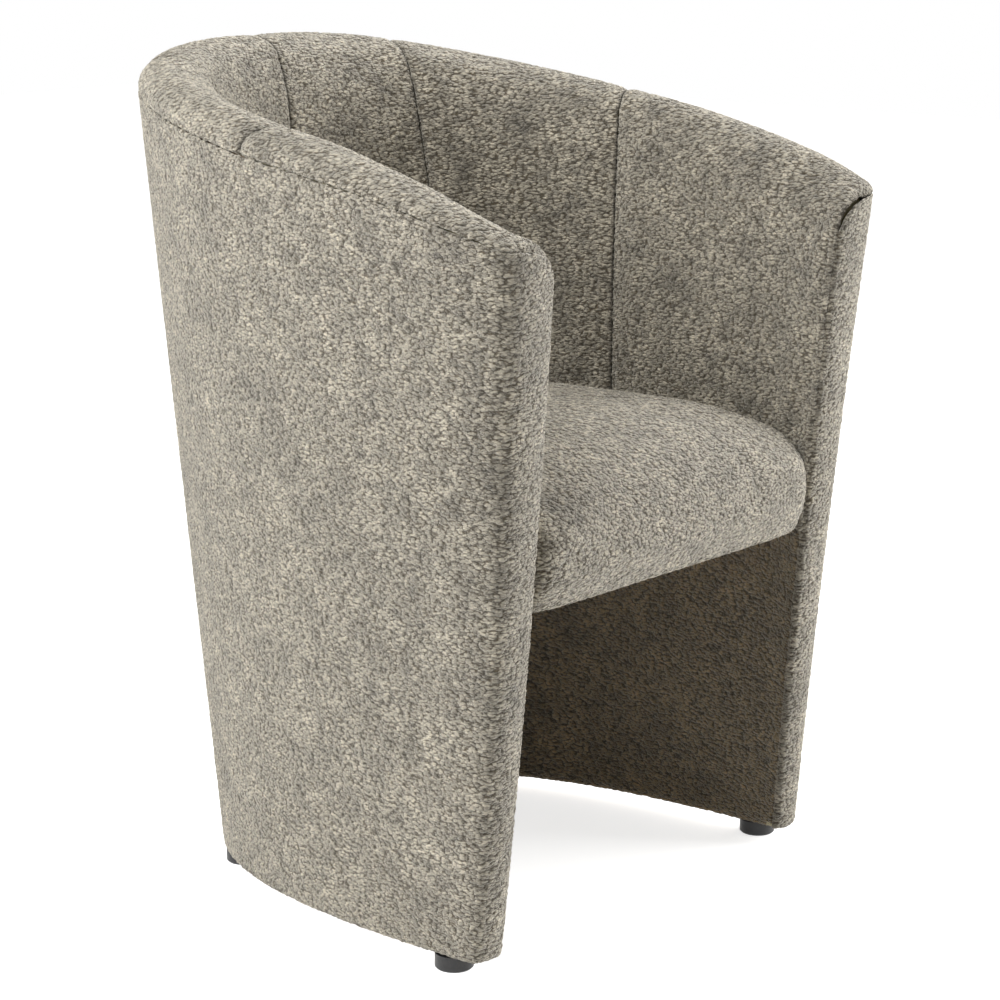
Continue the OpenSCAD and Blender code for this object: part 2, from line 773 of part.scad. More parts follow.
outer_cover();
back_panel("left");  // back_panel_left
back_panel("right");  // back_panel_right
wing_panel("left");  // wing_panel_left
wing_panel("right");  // wing_panel_right
arm_panel("left");  // arm_panel_left
arm_panel("right");  // arm_panel_right
lower_lining();
back_foam("left");  // back_foam_left
back_foam("right");  // back_foam_right
wing_foam("left");  // wing_foam_left
wing_foam("right");  // wing_foam_right
arm_foam("left");  // arm_foam_left
arm_foam("right");  // arm_foam_right
rim_foam();
lower_foam();
front_pad("left");  // front_pad_left
front_pad("right");  // front_pad_right
outer_board();
inner_board();
tack_strip();
base_ring();
top_rim();
front_post("left");  // front_post_left
front_post("right");  // front_post_right
side_post("left");  // side_post_left
side_post("right");  // side_post_right
back_post("left");  // back_post_left
back_post("right");  // back_post_right
seat_cover();
seat_foam();
seat_front_rail();
seat_back_rail();
seat_side_rail("left");  // seat_side_rail_left
seat_side_rail("right");  // seat_side_rail_right
webbing_long();
webbing_cross();
dust_cover();
seat_cleat("left");  // seat_cleat_left
seat_cleat("right");  // seat_cleat_right
seat_cleat_back();
seat_screws();
foot("left", front_foot);  // foot_front_left
foot("right", front_foot);  // foot_front_right
foot("left", back_foot);  // foot_back_left
foot("right", back_foot);  // foot_back_right
foot_screws();
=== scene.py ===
# %% [markdown]
# This file dresses a small club chair: a padded barrel shell in looped cloth, with a thick seat
# held inside it, on low round feet. The wooden frame, the boards, the screws and the feet come
# from the construction model and keep their places. All that is soft is built here, piece by
# piece, because a cloth cover needs far more points than a construction model should hold.

# %% Load the frame
import math

import bpy
import numpy as np
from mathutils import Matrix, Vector


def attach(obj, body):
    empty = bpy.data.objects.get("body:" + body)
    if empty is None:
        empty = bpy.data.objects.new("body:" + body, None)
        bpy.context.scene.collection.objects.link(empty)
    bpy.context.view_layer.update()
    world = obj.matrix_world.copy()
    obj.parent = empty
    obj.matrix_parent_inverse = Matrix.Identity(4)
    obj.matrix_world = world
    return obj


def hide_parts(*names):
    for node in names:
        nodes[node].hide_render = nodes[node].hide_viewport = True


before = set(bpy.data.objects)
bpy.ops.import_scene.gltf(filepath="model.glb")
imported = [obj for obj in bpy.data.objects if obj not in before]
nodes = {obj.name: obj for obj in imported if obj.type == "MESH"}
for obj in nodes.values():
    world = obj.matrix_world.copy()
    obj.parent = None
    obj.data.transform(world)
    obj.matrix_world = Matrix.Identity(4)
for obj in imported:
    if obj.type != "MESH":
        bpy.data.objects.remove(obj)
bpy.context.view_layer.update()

MM = 0.001

# %% [markdown]
# The camera comes first, so that each later step can be looked at from the same place. It could be
# set by eye, but here it was solved: the outlines of the shell were fitted to the photograph, and
# the fit gave the distance, the height and the lens together. A long lens keeps the arms parallel.

# %% Camera
CAMERA_PLACE = (-1.99845, -1.71567, 0.94595)
CAMERA_TARGET = (0, -0.0519, 0.3543)
LENS_MM, SENSOR_MM = 103.26, 36

camera = bpy.data.objects.new("camera", bpy.data.cameras.new("camera"))
bpy.context.scene.collection.objects.link(camera)
camera.location = CAMERA_PLACE
aim = Vector(CAMERA_TARGET) - camera.location
camera.rotation_euler = aim.to_track_quat("-Z", "Y").to_euler()
camera.data.lens = LENS_MM
camera.data.sensor_width = SENSOR_MM
bpy.context.scene.camera = camera
bpy.context.scene.view_settings.view_transform = "Standard"
print("the camera is", round(aim.length, 3), "m from its target")

# %% [markdown]
# Much of what follows is built from nodes: the background, the materials and the loops of the cloth.
# Each node could be made, set and linked by hand, but that takes four lines every time. So a few
# small helpers do it, and each of them takes a value or another node's output in the same place.

# %% First helpers for nodes
def node(tree, kind, **settings):
    made = tree.nodes.new(kind)
    for name, value in settings.items():
        setattr(made, name, value)
    return made


def feed(tree, made, values):
    """Sets or links the named or numbered inputs of a node."""
    for key, value in values.items():
        if isinstance(value, bpy.types.NodeSocket):
            tree.links.new(value, made.inputs[key])
        else:
            made.inputs[key].default_value = value
    return made


def math_node(tree, operation, a, b=0.0):
    return feed(tree, node(tree, "ShaderNodeMath", operation=operation), {0: a, 1: b}).outputs[0]


def times(tree, a, b):
    return math_node(tree, "MULTIPLY", a, b)


def ramp(tree, value, low, high, out_low=0.0, out_high=1.0):
    made = node(tree, "ShaderNodeMapRange", interpolation_type="SMOOTHSTEP")
    limits = {"From Min": low, "From Max": high, "To Min": out_low, "To Max": out_high}
    return feed(tree, made, {"Value": value, **limits}).outputs["Result"]


def colour_mix(tree, share, a, b):
    """A colour that goes from a to b as the share goes from 0 to 1."""
    made = node(tree, "ShaderNodeMix", data_type="RGBA")
    sockets = {socket.identifier: number for number, socket in enumerate(made.inputs)}
    feed(tree, made, {sockets["Factor_Float"]: share, sockets["A_Color"]: a, sockets["B_Color"]: b})
    return next(socket for socket in made.outputs if socket.identifier == "Result_Color")


def new_material(name):
    material = bpy.data.materials.new(name)
    material.use_nodes = True
    return material, material.node_tree, material.node_tree.nodes["Principled BSDF"]


# %% [markdown]
# A studio needs a floor, a background and a few large soft lamps. The background could be a lit
# wall, but a wall that looks white throws much light back on the chair. Here the world shows plain
# white to the camera and to mirrors, and lights the chair more gently and warmly. The floor glows
# for the camera and for mirrors only, and more so away from the chair, so that it looks white all
# over, without a horizon, and still shows the chair's shadow.

# %% World and floor
WHITE = (1, 1, 1, 1)
AMBIENT = 0.17
WARM_WHITE = (1, 0.95, 0.85, 1)
FLOOR_GLOW, FAR_GLOW = 0.75, 1.0
GLOW_NEAR, GLOW_FAR = 0.7, 2.0
FLOOR_SIZE = 14
FLOOR_WHITE = (0.82, 0.82, 0.82, 1)


def sees_background(tree):
    """A value of 1 for rays from the camera, a mirror or glass."""
    rays = node(tree, "ShaderNodeLightPath").outputs
    mirror_or_glass = math_node(tree, "MAXIMUM", rays["Is Glossy Ray"], rays["Is Transmission Ray"])
    return math_node(tree, "MAXIMUM", rays["Is Camera Ray"], mirror_or_glass)


world = bpy.data.worlds.new("studio")
bpy.context.scene.world = world
world.use_nodes = True
tree = world.node_tree
seen = sees_background(tree)
feed(tree, tree.nodes["Background"], {
    "Color": colour_mix(tree, seen, WARM_WHITE, WHITE), "Strength": ramp(tree, seen, 0, 1, AMBIENT, 1)})

bpy.ops.mesh.primitive_plane_add(size=FLOOR_SIZE, location=(0, 0, 0))
floor = bpy.context.object
floor.name = "floor"
paint, tree, shader = new_material("floor_white")
position = node(tree, "ShaderNodeNewGeometry").outputs["Position"]
away = feed(tree, node(tree, "ShaderNodeVectorMath", operation="LENGTH"), {0: position}).outputs["Value"]
glow = ramp(tree, away, GLOW_NEAR, GLOW_FAR, FLOOR_GLOW, FAR_GLOW)
feed(tree, shader, {
    "Base Color": FLOOR_WHITE, "Roughness": 0.9, "Specular IOR Level": 0.1, "Emission Color": WHITE,
    "Emission Strength": times(tree, sees_background(tree), glow)})
floor.data.materials.append(paint)
print("the floor is", FLOOR_SIZE, "m wide")

# %% [markdown]
# Soft light comes from large square lamps. One stands behind and to the left of the chair and one
# hangs over its left side, so the outer side of the near arm is lit. Two more stand in front, to the
# right, and light the arm fronts and the seat. What faces the camera itself gets the least light, and
# so the inside of the back and the corners of the arms stay darker, as in the photograph.

# %% Lamps
LAMP_SIZE = 1.6
LAMP_AIM = (0, 0, 0.45)


def soft_lamp(name, place, power):
    data = bpy.data.lights.new(name, "AREA")
    data.shape = "SQUARE"
    data.size = LAMP_SIZE
    data.energy = power
    lamp = bpy.data.objects.new(name, data)
    bpy.context.scene.collection.objects.link(lamp)
    lamp.location = place
    lamp.rotation_euler = (Vector(LAMP_AIM) - lamp.location).to_track_quat("-Z", "Y").to_euler()
    print(name, "gives", power, "W")


soft_lamp("back_left_lamp", (-2.7, 1.3, 1.5), 54)
soft_lamp("upper_left_lamp", (-1.6, 0.2, 2.8), 57)
soft_lamp("front_right_lamp", (2.2, -2.3, 1.2), 92)
soft_lamp("right_lamp", (3.0, -0.6, 1.2), 66)

# %% [markdown]
# The soft pieces follow the shell of the construction model, so its shape is worked out here again
# from the same sizes, in millimetres. A place on the shell has a station, which is the angle in
# degrees from the middle of the back, a height, and an inset from the outer side.

# %% The shell's sizes
BACK_H, ARM_H = 770, 642
FLOOR_W, TOP_W = 490, 596
FLOOR_DEPTH = 439
FRONT_LEAN, BACK_LEAN = 72, 71
STRAIGHT_L = 13
SQUARE_SHARE = 2.68
TOE_IN_SHARE, TOE_IN_POWER = 0.2, 1.5
FLOOR_T, RIM_T = 36, 63
CAP_H = 24
FRONT_OUTER_CAP_H, FRONT_INNER_CAP_H = 9, 40
CREST_SHARE, FRONT_CREST_SHARE = 0.5, 0.36
HEM_Z = 14
FLARE_BOW_SHARE, BACK_BOW_SHARE = 0.74, 0.49
RIM_RISE_SHARE, RIM_SWAY_SHARE = 0.27, 0.385
WIDEST, FRONT = 90, 100
OUTER_SEAM = 65
SEAT_LOW_Z, SEAT_EDGE_Z = 318, 412
FRAME_IN, FOAM_IN = 6.6, 33.2

ARM_LEAN = FRONT_LEAN * ARM_H / BACK_H
TOTAL_DEPTH = FLOOR_DEPTH + ARM_LEAN + BACK_LEAN
FRONT_Y0 = ARM_LEAN - TOTAL_DEPTH / 2
BACK_Y0 = TOTAL_DEPTH / 2 - BACK_LEAN
WIDEST_Y = FRONT_Y0 + STRAIGHT_L
print("the wall is", FLOOR_T, "mm thick at its foot and", RIM_T, "mm under the rim")


# %% The shell's surface
def mix(a, b, share):
    return a + (b - a) * share


def half_width(z):
    s = z / BACK_H
    return mix(FLOOR_W, TOP_W, (1 - FLARE_BOW_SHARE) * s + FLARE_BOW_SHARE * s * s) / 2


def front_y(z):
    return FRONT_Y0 - FRONT_LEAN * z / BACK_H


def back_y(z):
    s = z / BACK_H
    return BACK_Y0 + BACK_LEAN * ((1 + BACK_BOW_SHARE) * s - BACK_BOW_SHARE * s * s)


def rounded_square(angle, square):
    """x and y on a rounded square of half size 1, by the angle from +Y in degrees."""
    turn = np.radians(angle)
    x, y = np.sin(turn), np.cos(turn)
    r = (abs(x) ** square + abs(y) ** square) ** (-1 / square)
    return r * x, r * y


def wall(station, z, inset):
    """Points in the shell's wall, in millimetres."""
    station, z, inset = np.broadcast_arrays(*(np.asarray(v, float) for v in (station, z, inset)))
    x, y = rounded_square(np.minimum(abs(station), WIDEST), SQUARE_SHARE)
    ahead = np.maximum(abs(station) - WIDEST, 0) / (FRONT - WIDEST)
    stretch = WIDEST_Y - front_y(z)
    x = (half_width(z) - inset) * x - TOE_IN_SHARE * stretch * ahead**TOE_IN_POWER
    y = WIDEST_Y + (back_y(z) - WIDEST_Y - inset) * y - stretch * ahead
    return np.stack([np.where(station < 0, -1, 1) * x, y, z], -1)


def rim_z(station):
    z = (ARM_H + BACK_H) / 2
    s = (wall(station, z, 0)[..., 1] - front_y(z)) / (back_y(z) - front_y(z))
    u = s + RIM_RISE_SHARE * s * (1 - s) + RIM_SWAY_SHARE * s * (1 - s) * (1 - 2 * s)
    return mix(ARM_H, BACK_H, u)


def side_z(station):
    return rim_z(station) - CAP_H


def frontward(station):
    """How far a station is on its way from the outer seam to the arm's front."""
    return np.maximum(abs(station) - OUTER_SEAM, 0) / (FRONT - OUTER_SEAM)


def outer_top_z(station):
    return rim_z(station) - mix(CAP_H, FRONT_OUTER_CAP_H, frontward(station))


def inner_top_z(station):
    return rim_z(station) - mix(CAP_H, FRONT_INNER_CAP_H, frontward(station))


def wall_t(station, z):
    return mix(FLOOR_T, RIM_T, (z - HEM_Z) / (side_z(station) - HEM_Z))


def inner_side(station, z, deep):
    return wall(station, z, wall_t(station, z) - deep)


def rim_point(station, angle, deep):
    """A point over the rounded rim: 0 degrees at the outer side and 180 at the inner side."""
    outward = np.cos(np.radians(angle))
    crest = mix(CREST_SHARE, FRONT_CREST_SHARE, frontward(station))
    across = np.where(outward > 0, crest * (1 - outward), mix(crest, 1, -outward))
    low = np.where(outward > 0, outer_top_z(station), inner_top_z(station))
    thick = wall_t(station, inner_top_z(station)) - 2 * deep
    z = mix(low, rim_z(station) - deep, np.sin(np.radians(angle)))
    return wall(station, z, deep + thick * across)


back_rim_z, arm_rim_z = round(float(rim_z(0))), round(float(rim_z(FRONT)))
print("the rim is", back_rim_z, "mm high at the back and", arm_rim_z, "at the arms")

# %% [markdown]
# Every cover is a grid of points, about two millimetres apart, which is fine enough to hold the
# loops of the cloth as real shape. A grid could be unwrapped later, but it already knows where it
# runs, so its own rows and columns become the map that a painter or an export needs. A pad is
# closed at the back with few large faces, because nobody sees them.

# %% Lines and grids
def run_along(points):
    """The distance from the start of a line of points to each of them."""
    return np.concatenate([[0], np.cumsum(np.linalg.norm(np.diff(points, axis=0), axis=-1))])


def steps_along(points, step, multiple=1):
    """How many even steps a line of points takes, as a multiple of a whole number."""
    return max(1, round(run_along(points)[-1] / step / multiple)) * multiple


def even_shares(points, shares, count):
    """Shares at even distances along a line of points that were taken at the given shares."""
    run = run_along(points)
    return np.interp(np.linspace(0, run[-1], count + 1), run, shares)


def taken_at(grid, axis, places):
    """A grid's values at places between its own rows, on axis 0, or columns, on axis 1."""
    lines = np.moveaxis(grid, axis, 0)
    low = np.minimum(places.astype(int), len(lines) - 2)
    part = (places - low)[:, None, None]
    return np.moveaxis(lines[low] * (1 - part) + lines[low + 1] * part, 0, axis)


def evened(grid, axis, guide, step, multiple):
    """A grid with even steps on one axis, as measured on one line that runs along that axis."""
    count = steps_along(guide, step, multiple)
    return taken_at(grid, axis, even_shares(guide, np.arange(len(guide)), count))


def resampled(grid, step, multiple):
    """A finer or coarser grid through the same surface, with even steps on its middle lines."""
    grid = evened(grid, 0, grid[:, grid.shape[1] // 2], step, multiple)
    return evened(grid, 1, grid[grid.shape[0] // 2], step, multiple)


def grid_normals(grid):
    """Unit normals of a grid, on the side where its rows turn to its columns."""
    along = np.gradient(grid, axis=1)
    up = np.gradient(grid, axis=0)
    normal = np.cross(along, up)
    return normal / np.maximum(np.linalg.norm(normal, axis=-1, keepdims=True), 1e-12)


def grid_cells(index):
    return np.stack([index[:-1, :-1], index[:-1, 1:], index[1:, 1:], index[1:, :-1]], -1).reshape(-1, 4)


def numbered(rows, cols):
    """The numbers of a grid's points, row by row."""
    return np.arange(rows * cols).reshape(rows, cols)


def back_cells(index, stride):
    """Large faces over a grid whose inner points are used only at every stride."""
    rows, cols = index.shape
    faces = []
    for i in range(0, rows - 1, stride):
        for j in range(0, cols - 1, stride):
            k, m = i + stride, j + stride
            low = index[i, j : m + 1] if i == 0 else index[i, [j, m]]
            high = index[k, j : m + 1] if k == rows - 1 else index[k, [j, m]]
            left = index[i : k + 1, j] if j == 0 else index[[i, k], j]
            right = index[i : k + 1, m] if m == cols - 1 else index[[i, k], m]
            ring = [*low[:-1], *right[:-1], *high[:0:-1], *left[:0:-1]]
            faces.append(ring[::-1])
    return faces


# %% Meshes
MAP_NAME = "OFBake"
MAP_EDGE = 0.97
# The point attribute below holds painted shade along the seams and in the creases under the arm rolls.
SEAM_SHADE = "seam_shade"


def new_object(name, points, faces, spots):
    """An object from points in millimetres, its faces, and a map spot for each point."""
    mesh = bpy.data.meshes.new(name)
    mesh.from_pydata((points * MM).tolist(), [], faces)
    used = np.empty(len(mesh.loops), np.int32)
    mesh.loops.foreach_get("vertex_index", used)
    chart = mesh.uv_layers.new(name=MAP_NAME)
    chart.data.foreach_set("uv", spots[used].astype(np.float32).ravel())
    mesh.shade_smooth()
    mesh.update()
    obj = bpy.data.objects.new(name, mesh)
    bpy.context.scene.collection.objects.link(obj)
    return obj


def edge_mask(rows, cols):
    """True on a grid's four edges."""
    mask = np.zeros((rows, cols), bool)
    mask[[0, -1], :] = True
    mask[:, [0, -1]] = True
    return mask


def closed_pad(name, front, back, stride, shade=None):
    """A closed form from a fine front grid and a back grid of the same size, with painted shade at its seams.
    """
    rows, cols, _ = front.shape
    own = numbered(rows, cols)
    kept = edge_mask(rows, cols)
    kept[::stride, ::stride] = True
    behind = np.full((rows, cols), -1)
    behind[kept] = rows * cols + np.arange(kept.sum())
    down, across = np.meshgrid(np.linspace(0, 1, rows), np.linspace(0, 1, cols), indexing="ij")
    spots = np.stack([across, down], -1)
    spots_front = spots.reshape(-1, 2) * MAP_EDGE
    spots_back = MAP_EDGE + spots[kept] * (1 - MAP_EDGE)
    faces = grid_cells(own).tolist() + back_cells(behind, stride)
    for a, b in ((own[0], behind[0]), (own[-1][::-1], behind[-1][::-1]),
                 (own[:, 0][::-1], behind[:, 0][::-1]), (own[:, -1], behind[:, -1])):
        faces += np.stack([a[1:], a[:-1], b[:-1], b[1:]], -1).tolist()
    points = np.concatenate([front.reshape(-1, 3), back[kept]])
    pad = new_object(name, points, faces, np.concatenate([spots_front, spots_back]))
    # The painted shade at the seams goes onto the front's points.
    if shade is not None:
        dark = np.zeros(len(points), np.float32)
        dark[: rows * cols] = shade.ravel()
        pad.data.attributes.new(SEAM_SHADE, "FLOAT", "POINT").data.foreach_set("value", dark)
    return pad


# %% [markdown]
# The cloth is a looped boucle: short, curled loops about three or four millimetres across, with
# dark gaps between them. It could be painted as a bump, but then the outline would be as smooth as
# glass. So the loops are worked out once as a field, a height at every place in space, and the same
# nodes are laid in two trees: one moves the points of the covers, the other colours the cloth.

# %% The loops of the cloth as a field
LOOP_SIZE = 0.0034
LOOP_HEIGHT = 0.0016
LOOP_REST_SHARE = 0.6
LOOP_SHAPE = (0.8, 0.8, 1.7)
WANDER_SCALE, WANDER_REACH = 0.45, 1.1
CURL_SCALE, CURL_SHARE = 2.1, 0.3
LOOP_ROUNDING, CURL_ROUNDING = (0.25, 0.9), (0.2, 0.85)
MIDDLE_GREY = (0.5, 0.5, 0.5)
REST_PLACE = "rest_place"


def plus(tree, a, b):
    return math_node(tree, "ADD", a, b)


def less(tree, a, b):
    return math_node(tree, "SUBTRACT", a, b)


def vector_node(tree, operation, a, b):
    made = node(tree, "ShaderNodeVectorMath", operation=operation)
    key = "Scale" if operation == "SCALE" else 1
    return feed(tree, made, {0: a, key: b}).outputs[0]


def noise(tree, place, scale, detail=2.0, roughness=0.5):
    values = {"Vector": place, "Scale": scale, "Detail": detail, "Roughness": roughness}
    return feed(tree, node(tree, "ShaderNodeTexNoise"), values).outputs


def cells(tree, place, scale):
    return feed(tree, node(tree, "ShaderNodeTexVoronoi"), {"Vector": place, "Scale": scale}).outputs


def loop_field(tree, place, scale):
    """The height of the loops from 0 to 1, and a colour that is random for each loop."""
    place = vector_node(tree, "MULTIPLY", place, LOOP_SHAPE)
    swirl = noise(tree, place, times(tree, scale, WANDER_SCALE), 1.0)["Color"]
    reach = math_node(tree, "DIVIDE", WANDER_REACH, scale)
    wander = vector_node(tree, "SCALE", vector_node(tree, "SUBTRACT", swirl, MIDDLE_GREY), reach)
    moved = vector_node(tree, "ADD", place, wander)
    loops = cells(tree, moved, scale)
    curls = cells(tree, moved, times(tree, scale, CURL_SCALE))
    dome = ramp(tree, loops["Distance"], *LOOP_ROUNDING, 1.0, 0.0)
    curl = ramp(tree, curls["Distance"], *CURL_ROUNDING, 1.0, 0.0)
    height = plus(tree, times(tree, dome, 1 - CURL_SHARE), times(tree, curl, CURL_SHARE))
    return height, loops["Color"]


# %% Raising the loops
loops_tree = bpy.data.node_groups.new("raise_loops", "GeometryNodeTree")
for name, way, kind in (("Geometry", "INPUT", "Geometry"), ("Geometry", "OUTPUT", "Geometry"),
                        ("Loop Scale", "INPUT", "Float"), ("Loop Height", "INPUT", "Float")):
    loops_tree.interface.new_socket(name=name, in_out=way, socket_type="NodeSocket" + kind)
entry = node(loops_tree, "NodeGroupInput").outputs
leave = node(loops_tree, "NodeGroupOutput")
place = node(loops_tree, "GeometryNodeInputPosition").outputs[0]
kept_place = node(loops_tree, "GeometryNodeStoreNamedAttribute", data_type="FLOAT_VECTOR", domain="POINT")
feed(loops_tree, kept_place, {"Geometry": entry[0], "Name": REST_PLACE, "Value": place})
height, _ = loop_field(loops_tree, place, entry["Loop Scale"])
lift = times(loops_tree, less(loops_tree, height, LOOP_REST_SHARE), entry["Loop Height"])
outward = vector_node(loops_tree, "SCALE", node(loops_tree, "GeometryNodeInputNormal").outputs[0], lift)
raised = node(loops_tree, "GeometryNodeSetPosition")
feed(loops_tree, raised, {"Geometry": kept_place.outputs[0], "Offset": outward})
feed(loops_tree, leave, {0: raised.outputs[0]})
print(loops_tree.name, "has", len(loops_tree.nodes), "nodes")


def settled(obj):
    """Gives an object the mesh that its modifiers make, and drops the modifiers."""
    graph = bpy.context.evaluated_depsgraph_get()
    made = bpy.data.meshes.new_from_object(
        obj.evaluated_get(graph), preserve_all_data_layers=True, depsgraph=graph)
    made.name = obj.name
    old = obj.data
    obj.modifiers.clear()
    obj.data = made
    bpy.data.meshes.remove(old)
    return obj


def raise_loops(obj, height=LOOP_HEIGHT):
    """Moves the points of a cover by the loops of its cloth, and keeps their old places."""
    maker = obj.modifiers.new("loops", "NODES")
    maker.node_group = loops_tree
    sockets = {s.name: s.identifier for s in loops_tree.interface.items_tree if s.in_out == "INPUT"}
    maker[sockets["Loop Scale"]] = 1 / LOOP_SIZE
    maker[sockets["Loop Height"]] = height
    return settled(obj)


# %% [markdown]
# The colour of boucle comes from its depth: the tips of the loops are pale, and the gaps between
# them are painted dark, as shade that falls into the hollows between the loops. On top of that the
# dye is uneven, so there are darker clouds a few centimetres wide. Along the seams the colour is
# darkened too, as painted shade in their creases. The fine yarn in each loop is too small to model,
# so it stays a bump. This is a shader group with its own inputs, because the covers, the seat and
# the lining all use it.

# %% The cloth's colour and grain
CLOUD_SCALE, POOL_SCALE, YARN_SCALE = 26, 90, 900
CLOUD_AMOUNT = 1.7
LOOP_TONES = (0.62, 1.29)
PALE_FROM, PALE_AT = 0.30, 0.80
GAP_ROUGHNESS, TIP_ROUGHNESS = 1.0, 0.85
# How much the painted shade at the seams darkens the cloth.
SEAM_DARK = 0.6
YARN_DEPTH, YARN_HEIGHT = 0.5, 0.6
CLOTH_BUMP = 0.0021
SHEEN_TINT = (1.0, 0.95, 0.85, 1)
# In each pair the gap colour is painted shade: the dark that falls into the hollows between loops.
COVER_TIP, COVER_GAP = (0.450, 0.409, 0.328, 1), (0.070, 0.054, 0.031, 1)
# The lining is the same cloth, darker and warmer: painted shade and warm bounce light under the seat.
SHADED_LINING_TIP, SHADED_LINING_GAP = (0.32, 0.235, 0.125, 1), (0.047, 0.032, 0.014, 1)


def new_group(name, inputs, outputs):
    group = bpy.data.node_groups.new(name, "ShaderNodeTree")
    for way, sockets in (("INPUT", inputs), ("OUTPUT", outputs)):
        for label, kind in sockets.items():
            group.interface.new_socket(name=label, in_out=way, socket_type="NodeSocket" + kind)
    return group, node(group, "NodeGroupInput").outputs, node(group, "NodeGroupOutput")


def grouped(tree, group, values):
    return feed(tree, node(tree, "ShaderNodeGroup", node_tree=group), values).outputs


def bump(tree, height, distance, strength=1.0):
    made = node(tree, "ShaderNodeBump")
    return feed(tree, made, {"Height": height, "Distance": distance, "Strength": strength}).outputs[0]


# %% The boucle's node group
boucle, given, result = new_group(
    "boucle_cloth",
    {"Place": "Vector", "Loop Scale": "Float", "Tip Colour": "Color", "Gap Colour": "Color",
     "Cloud Amount": "Float", "Yarn Scale": "Float", "Painted Seam Shade": "Float"},
    {"Colour": "Color", "Roughness": "Float", "Height": "Float"})
place = given["Place"]
height, random_colour = loop_field(boucle, place, given["Loop Scale"])
yarn = noise(boucle, place, given["Yarn Scale"], 3.0, 0.65)["Fac"]
clouds = noise(boucle, place, CLOUD_SCALE, 3.0, 0.6)["Fac"]
pools = noise(boucle, place, POOL_SCALE, 2.0, 0.6)["Fac"]
depth = plus(boucle, height, times(boucle, less(boucle, yarn, 0.5), YARN_DEPTH))
# Deep places take the gap colour, which is painted shade between the loops.
base = colour_mix(boucle, ramp(boucle, depth, PALE_FROM, PALE_AT), given["Gap Colour"], given["Tip Colour"])
random_share = feed(boucle, node(boucle, "ShaderNodeSeparateColor"), {0: random_colour}).outputs[0]
loop_tone = ramp(boucle, random_share, 0.0, 1.0, *LOOP_TONES)
uneven = plus(boucle, less(boucle, clouds, 0.5), less(boucle, pools, 0.5))
cloud_tone = plus(boucle, times(boucle, uneven, given["Cloud Amount"]), 1.0)
# Painted shade darkens the cloth along the seams and creases.
painted_seam_darkening = less(boucle, 1.0, times(boucle, given["Painted Seam Shade"], SEAM_DARK))
tone = times(boucle, times(boucle, loop_tone, cloud_tone), painted_seam_darkening)
feed(boucle, result, {
    "Colour": vector_node(boucle, "SCALE", base, tone),
    "Roughness": ramp(boucle, height, 0.0, 1.0, GAP_ROUGHNESS, TIP_ROUGHNESS),
    "Height": plus(boucle, height, times(boucle, yarn, YARN_HEIGHT))})
print(boucle.name, "has", len(boucle.nodes), "nodes")


# %% Cloth materials
def attribute(tree, name):
    return node(tree, "ShaderNodeAttribute", attribute_name=name).outputs


def boucle_material(name, tip, gap):
    material, tree, shader = new_material(name)
    cloth = grouped(tree, boucle, {
        "Place": attribute(tree, REST_PLACE)["Vector"], "Painted Seam Shade": attribute(tree, SEAM_SHADE)["Fac"],
        "Loop Scale": 1 / LOOP_SIZE, "Tip Colour": tip, "Gap Colour": gap,
        "Cloud Amount": CLOUD_AMOUNT, "Yarn Scale": YARN_SCALE})
    feed(tree, shader, {
        "Base Color": cloth["Colour"], "Roughness": cloth["Roughness"],
        "Normal": bump(tree, cloth["Height"], CLOTH_BUMP), "Specular IOR Level": 0.15,
        "Sheen Weight": 1.0, "Sheen Roughness": 0.55, "Sheen Tint": SHEEN_TINT})
    return material


cover_cloth = boucle_material("cover_boucle", COVER_TIP, COVER_GAP)
# The lining's material carries painted shade and warm bounce light.
shaded_lining_cloth = boucle_material("lining_boucle_painted_shade", SHADED_LINING_TIP, SHADED_LINING_GAP)
print("cloth materials:", cover_cloth.name, shaded_lining_cloth.name)


# %% Finishing a soft piece
def finish_soft(obj, material, slot, *replaced, fill=None):
    """What every soft piece needs once its shape is right."""
    obj.data.materials.clear()
    obj.data.materials.append(material)
    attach(obj, "root")
    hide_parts(*replaced)
    print(obj.name, len(obj.data.polygons), "faces")


# %% [markdown]
# The outer cover is one length of cloth. It starts behind the edge of one arm front, crosses the
# front, turns round the outer corner, runs round the whole shell and ends the same way on the
# other arm. It could be made of flat strips, but cloth over padding has no sharp corner. So each
# level is drawn as a line with corners first, and the line is then smoothed along its length.

# %% The outer cover's sizes
COVER_STEP = 2.1
FINE_STEP = 1.0
FINE_ROWS = 500
FINE_STATIONS = 801
MIDDLE_Z = 400
CORNER_REACH_LOW, CORNER_REACH_HIGH = 9, 17
INNER_EDGE_REACH = 4
INNER_EDGE_ENDS = (12, 26)
FRONT_BOW = 6
EDGE_TUCK = 7
RIM_GAP = 0.5
ROLL_R_TOP, ROLL_R_SIDE = 9.0, 4.5
ROLL_SIDE_TURN = 110
ROLL_GAP = 0.6
TOP_FOLD_R, HEM_FOLD_R, HEM_L = 1.2, 4.0, 9.0
FOLD_START, FOLD_ROWS = 15, 5
# Painted shade in the crease under the end of each arm roll: how dark it is and how far it reaches.
CREASE_SHADE, CREASE_REACH = 0.7, 4
CREASE_ROW = 12
FRONT_FACING = (0.75, 0.95)
CLOTH_T = 2
BACK_STRIDE = 10


# %% Helpers for edges
def between(value, start, end):
    """Rises evenly from 0 at the start to 1 at the end."""
    return np.clip((value - start) / (end - start), 0, 1)


def near(run, reach, power=1.4):
    """Falls from 1 at an edge to almost 0 beyond a reach from it."""
    return np.exp(-((run / reach) ** power))


